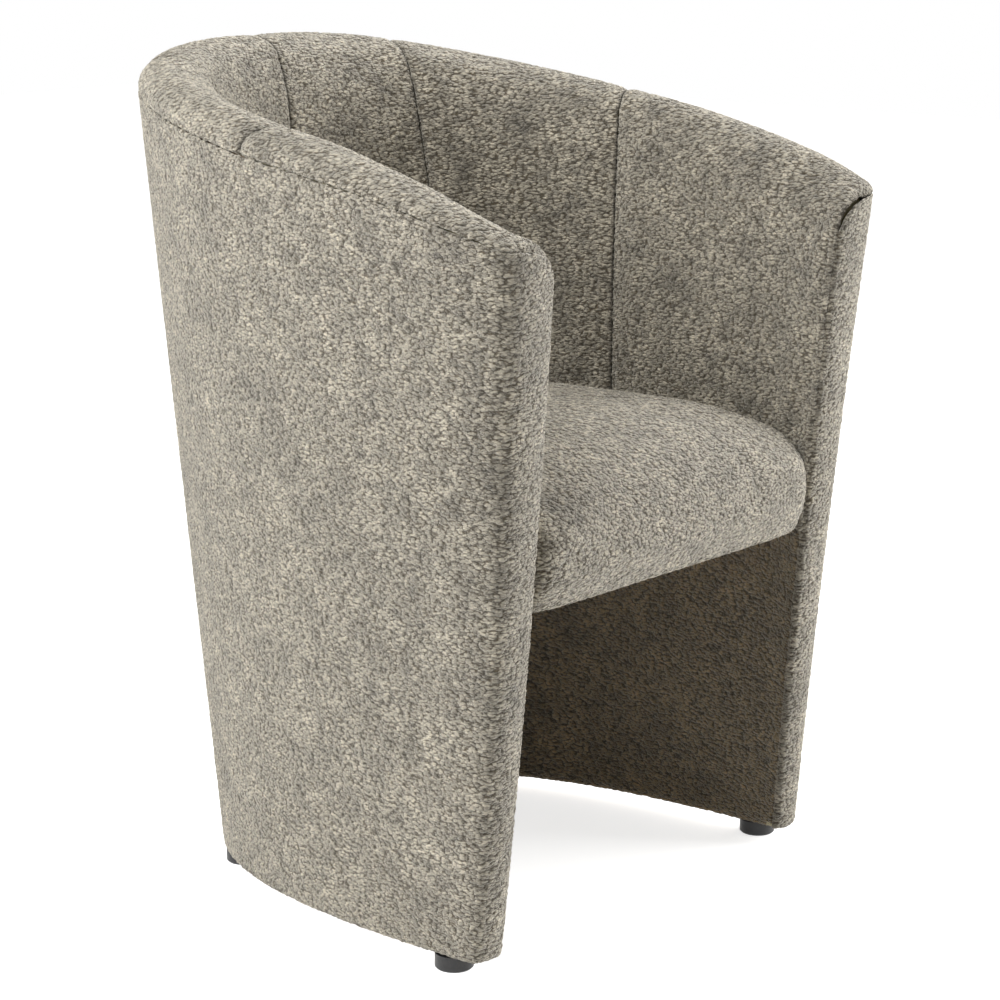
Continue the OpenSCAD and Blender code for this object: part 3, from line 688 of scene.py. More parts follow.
def smoothed(lines, reach, step):
    """Averages each point of the lines with its neighbours within a reach, in millimetres."""
    half = max(1, round(reach / step))
    padded = np.concatenate([np.repeat(lines[:, :1], half, 1), lines, np.repeat(lines[:, -1:], half, 1)], 1)
    total = np.cumsum(np.concatenate([np.zeros_like(padded[:, :1]), padded], 1), axis=1)
    return (total[:, 2 * half + 1 :] - total[:, : -2 * half - 1]) / (2 * half + 1)


# %% The outer cover's surface
def arm_front(hand, share, z):
    """A point on an arm's front, by its share of the way from the outer to the inner side."""
    station = hand * FRONT
    return mix(wall(station, z, 0), inner_side(station, z, 0), share[..., None])


def roll_r(turn):
    """How far the rounded end of the arm's roll stands over its front, by the angle over the rim."""
    return mix(ROLL_R_TOP, ROLL_R_SIDE, between(turn, ROLL_SIDE_TURN, 180))


def front_top_z(share):
    """The upper edge of the cloth on an arm's front, just under the end of the roll."""
    turn = np.arange(181)
    edge = rim_point(FRONT, turn, roll_r(turn) + ROLL_GAP)
    outer, inner = wall(FRONT, edge[:, 2], 0), inner_side(FRONT, edge[:, 2], 0)
    shares = (outer[:, 0] - edge[:, 0]) / (outer[:, 0] - inner[:, 0])
    return np.interp(share, shares, edge[:, 2])


def outer_cover_grid():
    """The cover from one arm front round the shell to the other, hem to rim, with soft corners."""
    rise = np.linspace(0, 1, FINE_ROWS)[:, None]
    tuck = np.arange(EDGE_TUCK, 0, -FINE_STEP)
    last = 1 - ROLL_R_SIDE / RIM_T
    share = last - np.arange(0, last * RIM_T, FINE_STEP)[None, :] / RIM_T
    station = np.linspace(-FRONT, FRONT, FINE_STATIONS)
    line = wall(station, MIDDLE_Z, 0)
    even = even_shares(line, station, int(run_along(line)[-1] / FINE_STEP))[None, :]
    side = wall(even, mix(HEM_Z, outer_top_z(even) - RIM_GAP, rise), 0)
    fronts = []
    for hand in (-1, 1):
        face = arm_front(hand, share + 0 * rise, mix(HEM_Z, front_top_z(share), rise))
        face[..., 1] -= FRONT_BOW * (1 - (2 * share - 1) ** 2)
        edge = face[:, :1].repeat(len(tuck), 1)
        edge[..., 1] += tuck[None, :]
        fronts.append(np.concatenate([edge, face], 1))
    grid = np.concatenate([fronts[0], side, fronts[1][:, ::-1]], 1)
    low, high = (smoothed(grid, reach, FINE_STEP) for reach in (CORNER_REACH_LOW, CORNER_REACH_HIGH))
    soft = mix(low, high, rise[..., None])
    columns = np.arange(grid.shape[1])
    from_edge = np.minimum(columns, columns[::-1]) * FINE_STEP - EDGE_TUCK
    at_edge = between(from_edge, *INNER_EDGE_ENDS)[None, :, None]
    return mix(smoothed(grid, INNER_EDGE_REACH, FINE_STEP), soft, at_edge)[:, ::-1]


# %% Outer cover
def with_folded_edges(grid):
    """Turns the grid's upper edge inward over a small radius, and its lower edge under."""
    inward = -grid_normals(grid)
    turns = np.radians(np.linspace(FOLD_START, 90, FOLD_ROWS))
    up = np.array([0, 0, 1.0])

    def turned(row, r, lift):
        return grid[row] + inward[row] * r * (1 - np.cos(turns))[:, None, None] + up * lift[:, None, None]

    top = turned(-1, TOP_FOLD_R, TOP_FOLD_R * (np.sin(turns) - 1))
    hem = turned(0, HEM_FOLD_R, HEM_FOLD_R * (1 - np.sin(turns)))
    under = [hem[-1] + inward[0] * run for run in np.linspace(HEM_L, 0, FOLD_ROWS, endpoint=False)]
    lower_cut = np.searchsorted(grid[:, grid.shape[1] // 2, 2], HEM_Z + HEM_FOLD_R)
    upper_cut = len(grid) - int(TOP_FOLD_R)
    return np.concatenate([under, hem[::-1], grid[lower_cut:upper_cut], top])


outer = resampled(with_folded_edges(outer_cover_grid()), COVER_STEP, BACK_STRIDE)
facing = grid_normals(outer)
# Painted shade: a dark band under the cover's upper edge, only on the forward-facing arm fronts, for the
# crease under each roll's end.
below_edge = COVER_STEP * np.arange(len(outer))[::-1, None]
on_front = between(-facing[-CREASE_ROW, :, 1], *FRONT_FACING)[None, :]
crease = CREASE_SHADE * near(below_edge, CREASE_REACH, 2) * on_front
outer_cover = closed_pad("outer_cover_cloth", outer, outer - facing * CLOTH_T, BACK_STRIDE, crease)
raise_loops(outer_cover)
finish_soft(outer_cover, cover_cloth, "cover_fabric", "outer_cover")

# %% [markdown]
# The inside of the shell is six padded panels, sewn together over the rim: two behind the sitter,
# two wings and two arms. Each could be one flat offset of the wall, but a sewn pad is pulled down
# at its seams and swells between them. So each panel is first laid on the wall and drawn in along
# its edges, and a short cloth simulation with a little air pressure then fills it.

# %% Cloth simulation
PUFF_FRAMES = 20
CLOTH_STIFFNESS = 15.0
CLOTH_QUALITY = 5
WEIGHT_STEP = 0.01
FILL_STEP = 7
PANEL_PRESSURE, PANEL_SWELL = 4, 5
SMOOTH_REACH, SMOOTH_STEP = 4, 2


def cloth_swell(obj, held, pressure):
    """Runs a cloth with inner pressure on an object and returns its points, in millimetres."""
    group = obj.vertex_groups.new(name="held")
    for weight in np.unique(held.round(2)):
        members = np.nonzero(abs(held - weight) < 0.6 * WEIGHT_STEP)[0]
        if weight > 0:
            group.add(members.tolist(), float(weight), "REPLACE")
    cloth = obj.modifiers.new("cloth", "CLOTH")
    cloth.settings.use_pressure = True
    cloth.settings.uniform_pressure_force = pressure
    cloth.settings.effector_weights.gravity = 0
    cloth.settings.vertex_group_mass = "held"
    cloth.settings.tension_stiffness = CLOTH_STIFFNESS
    cloth.settings.compression_stiffness = CLOTH_STIFFNESS
    cloth.settings.quality = CLOTH_QUALITY
    cloth.point_cache.frame_start = 1
    cloth.point_cache.frame_end = PUFF_FRAMES
    scene = bpy.context.scene
    for number in range(1, PUFF_FRAMES + 1):
        scene.frame_set(number)
    swollen = obj.evaluated_get(bpy.context.evaluated_depsgraph_get())
    points = np.empty(len(obj.data.vertices) * 3)
    swollen.to_mesh().vertices.foreach_get("co", points)
    swollen.to_mesh_clear()
    obj.modifiers.remove(cloth)
    scene.frame_set(1)
    return points.reshape(-1, 3) / MM


def capped(move, most):
    """Moves no longer than a cap, in the same directions."""
    length = np.linalg.norm(move, axis=-1, keepdims=True)
    return move * np.minimum(1, most / np.maximum(length, 1e-9))


def swollen_grid(grid, held_below):
    """Fills a sheet that is held at its edges and below a height, on a coarser copy of its grid."""
    coarse = resampled(grid, FILL_STEP, 1)
    rows, cols, _ = coarse.shape
    flat = coarse.reshape(-1, 3)
    sheet = new_object("filling", flat, grid_cells(numbered(rows, cols)).tolist(), np.zeros((rows * cols, 2)))
    held = edge_mask(rows, cols) | (coarse[..., 2] < held_below)
    moved = cloth_swell(sheet, held.ravel().astype(float), PANEL_PRESSURE)
    mesh = sheet.data
    bpy.data.objects.remove(sheet)
    bpy.data.meshes.remove(mesh)
    move = capped((moved - flat).reshape(rows, cols, 3), PANEL_SWELL)
    for axis in (0, 1):
        move = taken_at(move, axis, np.linspace(0, move.shape[axis] - 1, grid.shape[axis]))
    for axis in (0, 1):
        move = np.moveaxis(smoothed(np.moveaxis(move, axis, 1), SMOOTH_REACH, SMOOTH_STEP), 1, axis)
    print("swelled by up to", round(float(np.linalg.norm(move, axis=-1).max()), 1), "mm")
    return grid + move


# %% The panels' sizes
PANEL_STEP = 1.9
PANEL_ROWS, PANEL_COLS = 361, 161
PANEL_LOW_Z = SEAT_LOW_Z + 0.3
PANEL_HELD_Z = SEAT_EDGE_Z - 25
SEAM_HALF_GAP = 0.7
SEAM_DRAW, SEAM_REACH = 2.6, 4.0
RIM_SEAM_DRAW, RIM_SEAM_REACH = 1.0, 5.0
DEEPEST_DRAW = SEAM_DRAW + 2
SHADE_REACH = 1.7
ROLL_COVER_T = 6.6
ROLL_COVER_UP = 0.94
FRONT_GAP = 0.8
FRONT_GAP_STATIONS = (98, 100)

# The fullness of the padding: how high it is, and where it rises and ends.
BACK_FULL, ARM_RIM_FULL = 13, 5
BACK_FULL_UP, BACK_FULL_STATIONS, UNDER_RIM_SHARE = (0.3, 0.65), (72, 34), 0.06
RIM_FULL_RISE, RIM_FULL_END = (0.75, 1.15), (1.6, 1.25)
ARM_FULL_RISE, ARM_FULL_END = (64, 74), (97, 85)

# Each seam's station at the rim's inner side, its drift down to the seat and its drift over the rim.
SEAMS = {"middle": (0, 0, 0), "inner": (33.3, 12, -3.6), "outer": (OUTER_SEAM, 0, 0), "front": (FRONT, 0, 0)}


# %% The panels' surface
def eased(value, start, end):
    """Rises smoothly from 0 at the start to 1 at the end."""
    share = between(value, start, end)
    return share * share * (3 - 2 * share)


def line_lengths(grid):
    """How far each point lies from the grid's four edges: left, right, low and high."""
    found = []
    for axis in (1, 0):
        steps = np.linalg.norm(np.diff(grid, axis=axis), axis=-1)
        run = np.concatenate([0 * np.take(steps, [0], axis), np.cumsum(steps, axis)], axis)
        found += [run, run.max(axis, keepdims=True) - run]
    return found


def seam_station(seam, up):
    station, drift_below, drift_over = SEAMS[seam]
    return station + drift_below * np.maximum(1 - up, 0) + drift_over * np.maximum(up - 1, 0)


def fullness(station, up):
    """How far the padding stands over the plain wall, behind the sitter and on the arms' rim."""
    station = abs(station)
    under_rim = 1 - near(np.maximum(1 - up, 0), UNDER_RIM_SHARE, 1)
    back = under_rim * eased(up, *BACK_FULL_UP) * eased(station, *BACK_FULL_STATIONS)
    rim = eased(up, *RIM_FULL_RISE) * eased(up, *RIM_FULL_END)
    arm = rim * eased(station, *ARM_FULL_RISE) * eased(station, *ARM_FULL_END)
    return BACK_FULL * back + ARM_RIM_FULL * arm


def below_rim_z(station, up):
    """The height of a point on a panel's inner side; up runs to 1 at the rim."""
    return mix(PANEL_LOW_Z, inner_top_z(station), np.minimum(up, 1))


def panel_surface(station, up, deep):
    """A point on a panel: up runs to 1 at the rim's inner side and to 2 at its outer side."""
    low = inner_side(station, below_rim_z(station, up), deep)
    rim = rim_point(station, 180 * (2 - np.maximum(up, 1)), deep)
    return np.where(up[..., None] <= 1, low, rim)


# %% Padded panels
def panel_grids(seam_a, seam_b):
    """A panel's front, its back and the painted shade at its seams, on one fine grid between two seams."""
    up, share = np.meshgrid(np.linspace(0, 2, PANEL_ROWS), np.linspace(0, 1, PANEL_COLS), indexing="ij")
    seams = seam_station(seam_a, up), seam_station(seam_b, up)
    width = line_lengths(panel_surface(mix(*seams, share), up, 0 * up))[0][:, -1:]
    station = mix(*seams, mix(SEAM_HALF_GAP / width, 1 - SEAM_HALF_GAP / width, share))
    left, right, _, high = line_lengths(panel_surface(station, up, 0 * up))
    deep = SEAM_DRAW * near(left, SEAM_REACH)
    # Painted shade along the seams, strongest right at them.
    shade = near(left, SHADE_REACH, 2)
    if seam_b == "front":
        r = roll_r(180 * np.clip(2 - up, 0, 1))
        deep = deep + r - np.sqrt(r**2 - np.clip(r - right, 0, r) ** 2)
    else:
        deep = deep + SEAM_DRAW * near(right, SEAM_REACH)
        shade = shade + near(right, SHADE_REACH, 2)
    deep = np.minimum(deep + RIM_SEAM_DRAW * near(high, RIM_SEAM_REACH), np.maximum(deep, DEEPEST_DRAW))
    front = panel_surface(station, up, deep - fullness(station, up))
    low = wall(station, below_rim_z(station, up), FOAM_IN)
    roll = panel_surface(station, up, np.maximum(ROLL_COVER_T, deep + CLOTH_T))
    back = np.where(up[..., None] <= ROLL_COVER_UP, low, roll)
    for points in (front, back):
        points[..., 1] += FRONT_GAP * between(station, *FRONT_GAP_STATIONS)
    return front, back, shade


def make_panel(part, side, seam_a, seam_b):
    front, back, shade = panel_grids(seam_a, seam_b)
    guides = front[:, front.shape[1] // 2], front[front.shape[0] // 2]
    both = np.concatenate([front, back, shade[..., None]], -1)
    for axis, guide in enumerate(guides):
        both = evened(both, axis, guide, PANEL_STEP, BACK_STRIDE)
    if side == "right":
        both = both[:, ::-1] * np.array([-1, 1, 1, -1, 1, 1, 1])
    front, back, shade = both[..., :3], both[..., 3:6], both[..., 6]
    front = swollen_grid(front, PANEL_HELD_Z)
    panel = closed_pad(f"{part}_panel_{side}_pad", front, back, BACK_STRIDE, shade)
    raise_loops(panel)
    finish_soft(panel, cover_cloth, "cover_fabric", f"{part}_panel_{side}", f"{part}_foam_{side}", fill=0.8)


SIDES = ("left", "right")
for side in SIDES:
    make_panel("back", side, "middle", "inner")
    make_panel("wing", side, "inner", "outer")
    make_panel("arm", side, "outer", "front")

# %% [markdown]
# Under the covers lies plain foam: a soft roll on the rim, and a pad on the front edge of each arm.
# Nobody sees them, so they are coarse. Foam is full of open cells, and a cut block shows them as
# small pits, so its material is a field of cells with dark holes.

# %% Foam material
def object_place(tree):
    return node(tree, "ShaderNodeTexCoord").outputs["Object"]


foam_grain, given, result = new_group(
    "open_foam", {"Place": "Vector", "Cell Scale": "Float", "Colour": "Color", "Pit Colour": "Color"},
    {"Colour": "Color", "Height": "Float"})
pits = cells(foam_grain, given["Place"], given["Cell Scale"])["Distance"]
small = noise(foam_grain, given["Place"], 40, 3.0)["Fac"]
open_share = ramp(foam_grain, plus(foam_grain, pits, times(foam_grain, small, 0.3)), 0.15, 0.65)
feed(foam_grain, result, {
    "Colour": colour_mix(foam_grain, open_share, given["Pit Colour"], given["Colour"]), "Height": open_share})

foam, tree, shader = new_material("upholstery_foam")
grain = grouped(tree, foam_grain, {
    "Place": object_place(tree), "Cell Scale": 700, "Colour": (0.86, 0.79, 0.56, 1),
    "Pit Colour": (0.50, 0.42, 0.24, 1)})
feed(tree, shader, {
    "Base Color": grain["Colour"], "Normal": bump(tree, grain["Height"], 0.0008), "Roughness": 0.95,
    "Specular IOR Level": 0.1, "Sheen Weight": 0.15})
print("foam material:", foam.name)

# %% Roll under the rim
ROLL_DEEP = 7.4
ROLL_PAD_H = 42
ROLL_BEHIND = 13
ROLL_STEP, ROLL_COLS = 8, 13
LAST_ROLL_STATION = 97.5
ROLL_STATIONS = 401


def even_stations(step):
    """Stations from one arm front to the other, at even distances along the wall."""
    station = np.linspace(-FRONT, FRONT, ROLL_STATIONS)
    line = wall(station, MIDDLE_Z, 0)
    return even_shares(line, station, steps_along(line, step))


def behind_front(points, least):
    """Moves what would stand in front of a plane behind the arm fronts onto that plane."""
    points[..., 1] = np.maximum(points[..., 1], front_y(points[..., 2]) + least)
    return points


station = even_stations(ROLL_STEP)[None, :]
station = station[:, (abs(station[0]) < LAST_ROLL_STATION) | (abs(station[0]) == FRONT)]
over = np.linspace(0, 1, ROLL_COLS)[:, None]
roll_top = rim_point(station + 0 * over, 180 * over + 0 * station, ROLL_DEEP)
low_z = rim_z(station) - ROLL_PAD_H
roll_low = wall(station, low_z, mix(FRAME_IN + 1, wall_t(station, low_z) - ROLL_DEEP, over))
roll_top, roll_low = (behind_front(points, ROLL_BEHIND)[:, ::-1] for points in (roll_top, roll_low))
roll = closed_pad("rim_roll", roll_top, roll_low, 1)
finish_soft(roll, foam, "foam", "rim_foam", fill=1.0)

# %% Front pads
FRONT_PAD_IN, FRONT_PAD_OUT = 2.9, 12.2
FRONT_PAD_EDGES = (3.4, FOAM_IN - 1.5)
FRONT_PAD_ROUNDING = 2.5
FRONT_PAD_ROWS, FRONT_PAD_COLS = 40, 9
PAD_GAP = 0.5


def front_pad(side):
    """A pad on the front edge of an arm's frame, rounded on its front side."""
    station = FRONT if side == "left" else -FRONT
    rise = np.linspace(0, 1, FRONT_PAD_ROWS)[:, None]
    across = np.linspace(0, 1, FRONT_PAD_COLS)[None, :]
    z = mix(HEM_Z + CLOTH_T, rim_z(FRONT) - ROLL_PAD_H - PAD_GAP, rise)
    line = mix(*(wall(station, z, inset) for inset in FRONT_PAD_EDGES), across[..., None])
    front, back = line.copy(), line.copy()
    front[..., 1] += FRONT_PAD_IN + FRONT_PAD_ROUNDING * (2 * abs(across - 0.5)) ** 3
    back[..., 1] += FRONT_PAD_OUT
    order = slice(None) if side == "right" else slice(None, None, -1)
    pad = closed_pad(f"front_padding_{side}", front[:, order], back[:, order], 1)
    finish_soft(pad, foam, "foam", f"front_pad_{side}", fill=1.0)


for side in SIDES:
    front_pad(side)

# %% [markdown]
# Below the seat the wall is lined with the same cloth, laid flat over thin wadding. Its colours are
# darker and warmer than the cover's: painted shade and warm bounce light under the seat. It has no
# seams, so one grid from arm to arm is enough. A hand pulls such a lining by eye, so it isn't quite
# flat: long, low waves run through it, made from a few sines that are fixed and not random.

# %% Lower lining
LINING_STEP = 2.4
LINING_LOW_Z, LINING_TOP_Z = HEM_Z + 0.5, SEAT_LOW_Z - 0.3
LINING_FINE_STEP, LINING_ROWS = 2, 150
LINING_DEEP, LINING_BEHIND = 1.0, 1.5
LINING_LOOP_HEIGHT = 0.0009
EDGE_DRAW, EDGE_REACH = 3.0, 6.0
LOW_EDGE_SHARE = 1.6
THIN_BELOW_Z = HEM_Z + 23
WAVE_H = 0.8

# Each wave's length along the wall in degrees and up it in millimetres, both per radian, and its start.
WAVES = ((9, 70, 0), (5.3, -44, 1.3))


def lining_waves(station, z):
    slow = sum(np.sin(station / along + z / up + start) for along, up, start in WAVES)
    return WAVE_H * slow * np.sin(np.pi * between(z, HEM_Z, LINING_TOP_Z))


z, station = np.meshgrid(
    np.linspace(LINING_LOW_Z, LINING_TOP_Z, LINING_ROWS), even_stations(LINING_FINE_STEP), indexing="ij")
left, right, low, _ = line_lengths(inner_side(station, z, 0.0))
draw = sum(near(run, EDGE_REACH) for run in (left, right, LOW_EDGE_SHARE * low))
deep = EDGE_DRAW * np.minimum(draw, 1) + LINING_DEEP + lining_waves(station, z)
front = behind_front(inner_side(station, z, deep), LINING_BEHIND)
behind_cloth = wall_t(station, z) - deep - CLOTH_T
most = np.where(z < THIN_BELOW_Z, behind_cloth, FOAM_IN)
back = behind_front(wall(station, z, np.minimum(behind_cloth, most)), LINING_BEHIND)
both = resampled(np.concatenate([front, back], -1), LINING_STEP, BACK_STRIDE)
lining = closed_pad("lower_lining_pad", both[..., :3], both[..., 3:], BACK_STRIDE)
raise_loops(lining, LINING_LOOP_HEIGHT)
finish_soft(lining, shaded_lining_cloth, "lining_fabric", "lower_lining", "lower_foam", fill=0.7)

# %% [markdown]
# The seat is a thick cushion with a domed top, rounded edges and a tucked lower edge. Its outline
# is round behind and square in front, and no primitive has it. A square sheet of points is bent to
# that outline, so the points stay evenly spread and none crowd in the middle. Rings of points go
# on from the sheet's border down the sides and under the edge.

# %% The seat's sizes
SEAT_N = 56
SEAT_CROWN = 30
CROWN_POWER = 4.5
SEAT_SIDE_R, SEAT_FRONT_R = 16, 34
SEAT_CORNER_SHARE = 9
SEAT_OVERHANG = 17
SEAT_GAP = 1
TUCK_R, FOLD_L = 6, 15
COVER_DEEP = 1.6
FOAM_LOW_Z = 342.2
SHOULDER_TURN = 72
DOME_SHARE = 0.8
SHOULDER_Z = SEAT_EDGE_Z - SEAT_FRONT_R
DOME_LOW_Z = SEAT_EDGE_Z - SEAT_FRONT_R * (1 - math.sin(math.radians(SHOULDER_TURN)))
SEAT_MIDDLE_Y = (front_y(SEAT_EDGE_Z) + back_y(SEAT_EDGE_Z) - RIM_T) / 2


# %% The seat's surface
def rounded_by(rise, r):
    """How far a surface draws back over a rounded edge, by its rise into the rounding."""
    return r - np.sqrt(np.maximum(r**2 - np.maximum(rise, 0) ** 2, 0))


def seat_point(angle, z, inset):
    """A point on the seat's side, by its angle from the back, its height and its inset."""
    angle, z, inset = np.broadcast_arrays(*(np.asarray(v, float) for v in (angle, z, inset)))
    behind = np.cos(np.radians(angle)) >= 0
    x, y = rounded_square(angle, np.where(behind, SQUARE_SHARE, SEAT_CORNER_SHARE))
    stretch = WIDEST_Y - front_y(z)
    edge = inset + rounded_by(SEAT_LOW_Z + TUCK_R - z, TUCK_R)
    side_edge = SEAT_GAP + edge + rounded_by(z - SEAT_EDGE_Z + SEAT_SIDE_R, SEAT_SIDE_R)
    back_l = back_y(z) - wall_t(0, z) - WIDEST_Y - side_edge
    bulge = SEAT_OVERHANG * np.sin(np.pi * (z - SEAT_LOW_Z) / (SEAT_EDGE_Z - SEAT_LOW_Z))
    front_l = stretch + bulge - edge - rounded_by(z - SEAT_EDGE_Z + SEAT_FRONT_R, SEAT_FRONT_R)
    y = y * np.where(behind, back_l, front_l)
    toe = TOE_IN_SHARE * stretch * (np.maximum(-y, 0) / stretch) ** TOE_IN_POWER
    half = half_width(z) - wall_t(WIDEST, z) - side_edge
    return np.stack([x * (half - toe), WIDEST_Y + y, z], -1)


def ring_angles():
    """Angles that spread 4 N points evenly along the seat's outline, from one back corner on."""
    found = []
    for start in (-45, 45, 135, 225):
        angle = np.linspace(start, start + 90, 181)
        found.append(even_shares(seat_point(angle, SHOULDER_Z, 0), angle, SEAT_N)[:-1])
    return np.concatenate(found)


def seat_top(share, angle):
    """A point on the seat's top, by its share of the way out from the middle."""
    turn = np.radians(SHOULDER_TURN * between(share, 1, DOME_SHARE))
    edge = seat_point(angle, SEAT_EDGE_Z - SEAT_FRONT_R * (1 - np.sin(turn)), 0)
    out = np.clip(share / DOME_SHARE, 0, 1)
    point = mix(np.array([0, SEAT_MIDDLE_Y, DOME_LOW_Z]), edge, out[..., None])
    point[..., 2] += SEAT_CROWN * (1 - out**CROWN_POWER)
    return point


# %% The seat's top
def square_sheet(n, top, angles):
    """A square grid of points bent to an outline: top takes a share and an angle."""
    v, u = np.meshgrid(np.linspace(1, -1, n + 1), np.linspace(-1, 1, n + 1), indexing="ij")
    share = np.maximum(abs(u), abs(v))
    s = np.maximum(share, 1e-9)
    quarter = np.where((v >= s - 1e-9), 0, np.where(u >= s - 1e-9, 1, np.where(v <= 1e-9 - s, 2, 3)))
    along = np.choose(quarter, [u / s, -v / s, -u / s, v / s])
    spot = (quarter + (along + 1) / 2) * n % (4 * n)
    closed = np.append(angles, angles[0] + 360)
    return top(share, np.interp(spot, np.arange(4 * n + 1), closed)), u, v


def border(n):
    """The numbers of a square grid's border points, in the order of the outline."""
    own = numbered(n + 1, n + 1)
    return np.concatenate([own[0, :-1], own[:-1, -1], own[-1, :0:-1], own[:0:-1, 0]])


angles = ring_angles()
sheet, u, v = square_sheet(SEAT_N, seat_top, angles)
print("the seat's top is", np.round(np.ptp(sheet.reshape(-1, 3), axis=0)).tolist(), "mm")

# %% [markdown]
# The cushion is then filled as the panels were: a cloth simulation with air inside, held where the
# wall and the frame hold the real one, and free on the top and the front. The points were kept
# seven millimetres apart for that, and two subdivisions afterwards make them fine enough for loops.

# %% Seat cushion
SIDE_LEVELS = 8
HEM_TURNS = (22, 45, 67, 90)
UNDER_LEVELS = (326, 334, FOAM_LOW_Z)
TOP_MAP_SHARE = 0.7

levels = [(z, 0) for z in np.linspace(SHOULDER_Z, SEAT_LOW_Z + TUCK_R, SIDE_LEVELS + 1)[1:]]
levels += [(SEAT_LOW_Z + TUCK_R * (1 - math.sin(math.radians(turn))), 0) for turn in HEM_TURNS]
levels += [(SEAT_LOW_Z, 0.5 * FOLD_L), (SEAT_LOW_Z, FOLD_L)]
levels += [(SEAT_LOW_Z + CLOTH_T, inset) for inset in (FOLD_L, 0.5 * FOLD_L, COVER_DEEP)]
levels += [(z, COVER_DEEP) for z in UNDER_LEVELS]
rings = [seat_point(angles, z, inset) for z, inset in levels]
points = np.concatenate([sheet.reshape(-1, 3), *rings])
around = 4 * SEAT_N
first_ring = len(points) - around * len(rings)
loops = [border(SEAT_N), *(first_ring + numbered(len(rings), around))]
faces = grid_cells(numbered(SEAT_N + 1, SEAT_N + 1))[:, ::-1].tolist()
for upper, lower in zip(loops[:-1], loops[1:]):
    faces += np.stack([upper, np.roll(upper, -1), np.roll(lower, -1), lower], -1).tolist()
faces.append(loops[-1].tolist())
print("the seat has", len(points), "points before it is filled")

# %% The cushion's map
square = np.stack([u, v], -1).reshape(-1, 2)
ring_shares = np.linspace(TOP_MAP_SHARE, 1, len(rings) + 1)[1:]
spots = [square * TOP_MAP_SHARE, *[square[loops[0]] * share for share in ring_shares]]
spots = (np.concatenate(spots) + 1) / 2 * MAP_EDGE
cushion = new_object("seat_cushion", points, faces, spots)
bottom = cushion.data.polygons[-1]
for k, corner in enumerate(bottom.loop_indices):
    turn = 2 * math.pi * k / around
    spot = (MAP_EDGE + (1 - MAP_EDGE) * (1 + math.cos(turn)) / 2, (1 - MAP_EDGE) * (1 + math.sin(turn)) / 2)
    cushion.data.uv_layers[MAP_NAME].data[corner].uv = spot
print("the map of the seat has", len(spots), "spots")

# %% Filling the seat
SEAT_PRESSURE = 4.0
SEAT_MOST = 8
SIDE_HELD_Z, FRONT_HELD_Z = 392, 338
FRONT_ZONE = 45
HELD_FADE = 8

in_front = points[:, 1] < front_y(points[:, 2]) + FRONT_ZONE
held_z = np.where(in_front, FRONT_HELD_Z, SIDE_HELD_Z)
held = between(points[:, 2], held_z + HELD_FADE, held_z)
moved = cloth_swell(cushion, held, SEAT_PRESSURE)
move = capped(moved - points, SEAT_MOST)
cushion.data.vertices.foreach_set("co", ((points + move) * MM).ravel())
cushion.data.update()
print("the seat swelled by up to", round(float(np.linalg.norm(move, axis=-1).max()), 1), "mm")
finer = cushion.modifiers.new("finer", "SUBSURF")
finer.levels = finer.render_levels = 2
settled(cushion)
raise_loops(cushion)
finish_soft(cushion, cover_cloth, "cover_fabric", "seat_cover", "seat_foam", fill=0.9)

# %% [markdown]
# Straps and the dust cover close the seat from below. Elastic webbing is a flat woven band. Its ribs
# could be modelled, but nobody sees them here, so each strap is a thin band and its material has the
# ribs. The dust cover is thin black felt, stapled to the rails, and its own weight lets it hang a
# little in the middle.

# %% Webbing and felt materials
def axis_values(tree, vector):
    return feed(tree, node(tree, "ShaderNodeSeparateXYZ"), {0: vector}).outputs


ribs, given, result = new_group(
    "woven_band", {"Place": "Vector", "Rib Scale": "Float", "Colour": "Color", "Thread Colour": "Color"},
    {"Colour": "Color", "Height": "Float"})
axes = axis_values(ribs, given["Place"])
across_ribs, along_ribs = (math_node(ribs, "SINE", times(ribs, axes[k], given["Rib Scale"])) for k in (0, 1))
rows = ramp(ribs, times(ribs, across_ribs, along_ribs), -0.6, 0.6)
fuzz = noise(ribs, given["Place"], 800, 2.0)["Fac"]
woven = plus(ribs, rows, times(ribs, fuzz, 0.4))
feed(ribs, result, {
    "Colour": colour_mix(ribs, ramp(ribs, woven, 0.1, 1.3), given["Thread Colour"], given["Colour"]),
    "Height": woven})

webbing_cloth, tree, shader = new_material("elastic_webbing")
band = grouped(tree, ribs, {
    "Place": object_place(tree), "Rib Scale": 2600, "Colour": (0.10, 0.10, 0.095, 1),
    "Thread Colour": (0.035, 0.035, 0.035, 1)})
feed(tree, shader, {
    "Base Color": band["Colour"], "Normal": bump(tree, band["Height"], 0.0005), "Roughness": 0.85})

felt, tree, shader = new_material("black_felt")
place = object_place(tree)
fibres = noise(tree, place, 1400, 4.0, 0.75)["Fac"]
thin_spots = noise(tree, place, 45, 3.0)["Fac"]
depth = plus(tree, fibres, times(tree, thin_spots, 0.5))
black, worn = (0.012, 0.012, 0.013, 1), (0.055, 0.053, 0.05, 1)
feed(tree, shader, {
    "Base Color": colour_mix(tree, ramp(tree, depth, 0.5, 1.0), black, worn),
    "Normal": bump(tree, depth, 0.0006), "Roughness": 0.95, "Sheen Weight": 0.3, "Sheen Roughness": 0.5})
print("materials:", webbing_cloth.name, felt.name)

# %% Webbing
RING_Z = 320.3
RING_IN = 2.6
RING_W = 45
STRAP_W, STRAP_T, STRAP_GRIP = 50, 1.5, 25
STRAP_COUNT = 4
STRAP_ACROSS, STRAP_ALONG, STRAP_EDGE_POWER = 12, 60, 8
LONG_STRAP_Z, CROSS_STRAP_Z = 338.6, 340.4

ring_line = seat_point(angles, RING_Z, RING_IN)
RING_HALF_W = np.ptp(ring_line[:, 0]) / 2
ring_front_y, ring_back_y = ring_line[:, 1].min(), ring_line[:, 1].max()


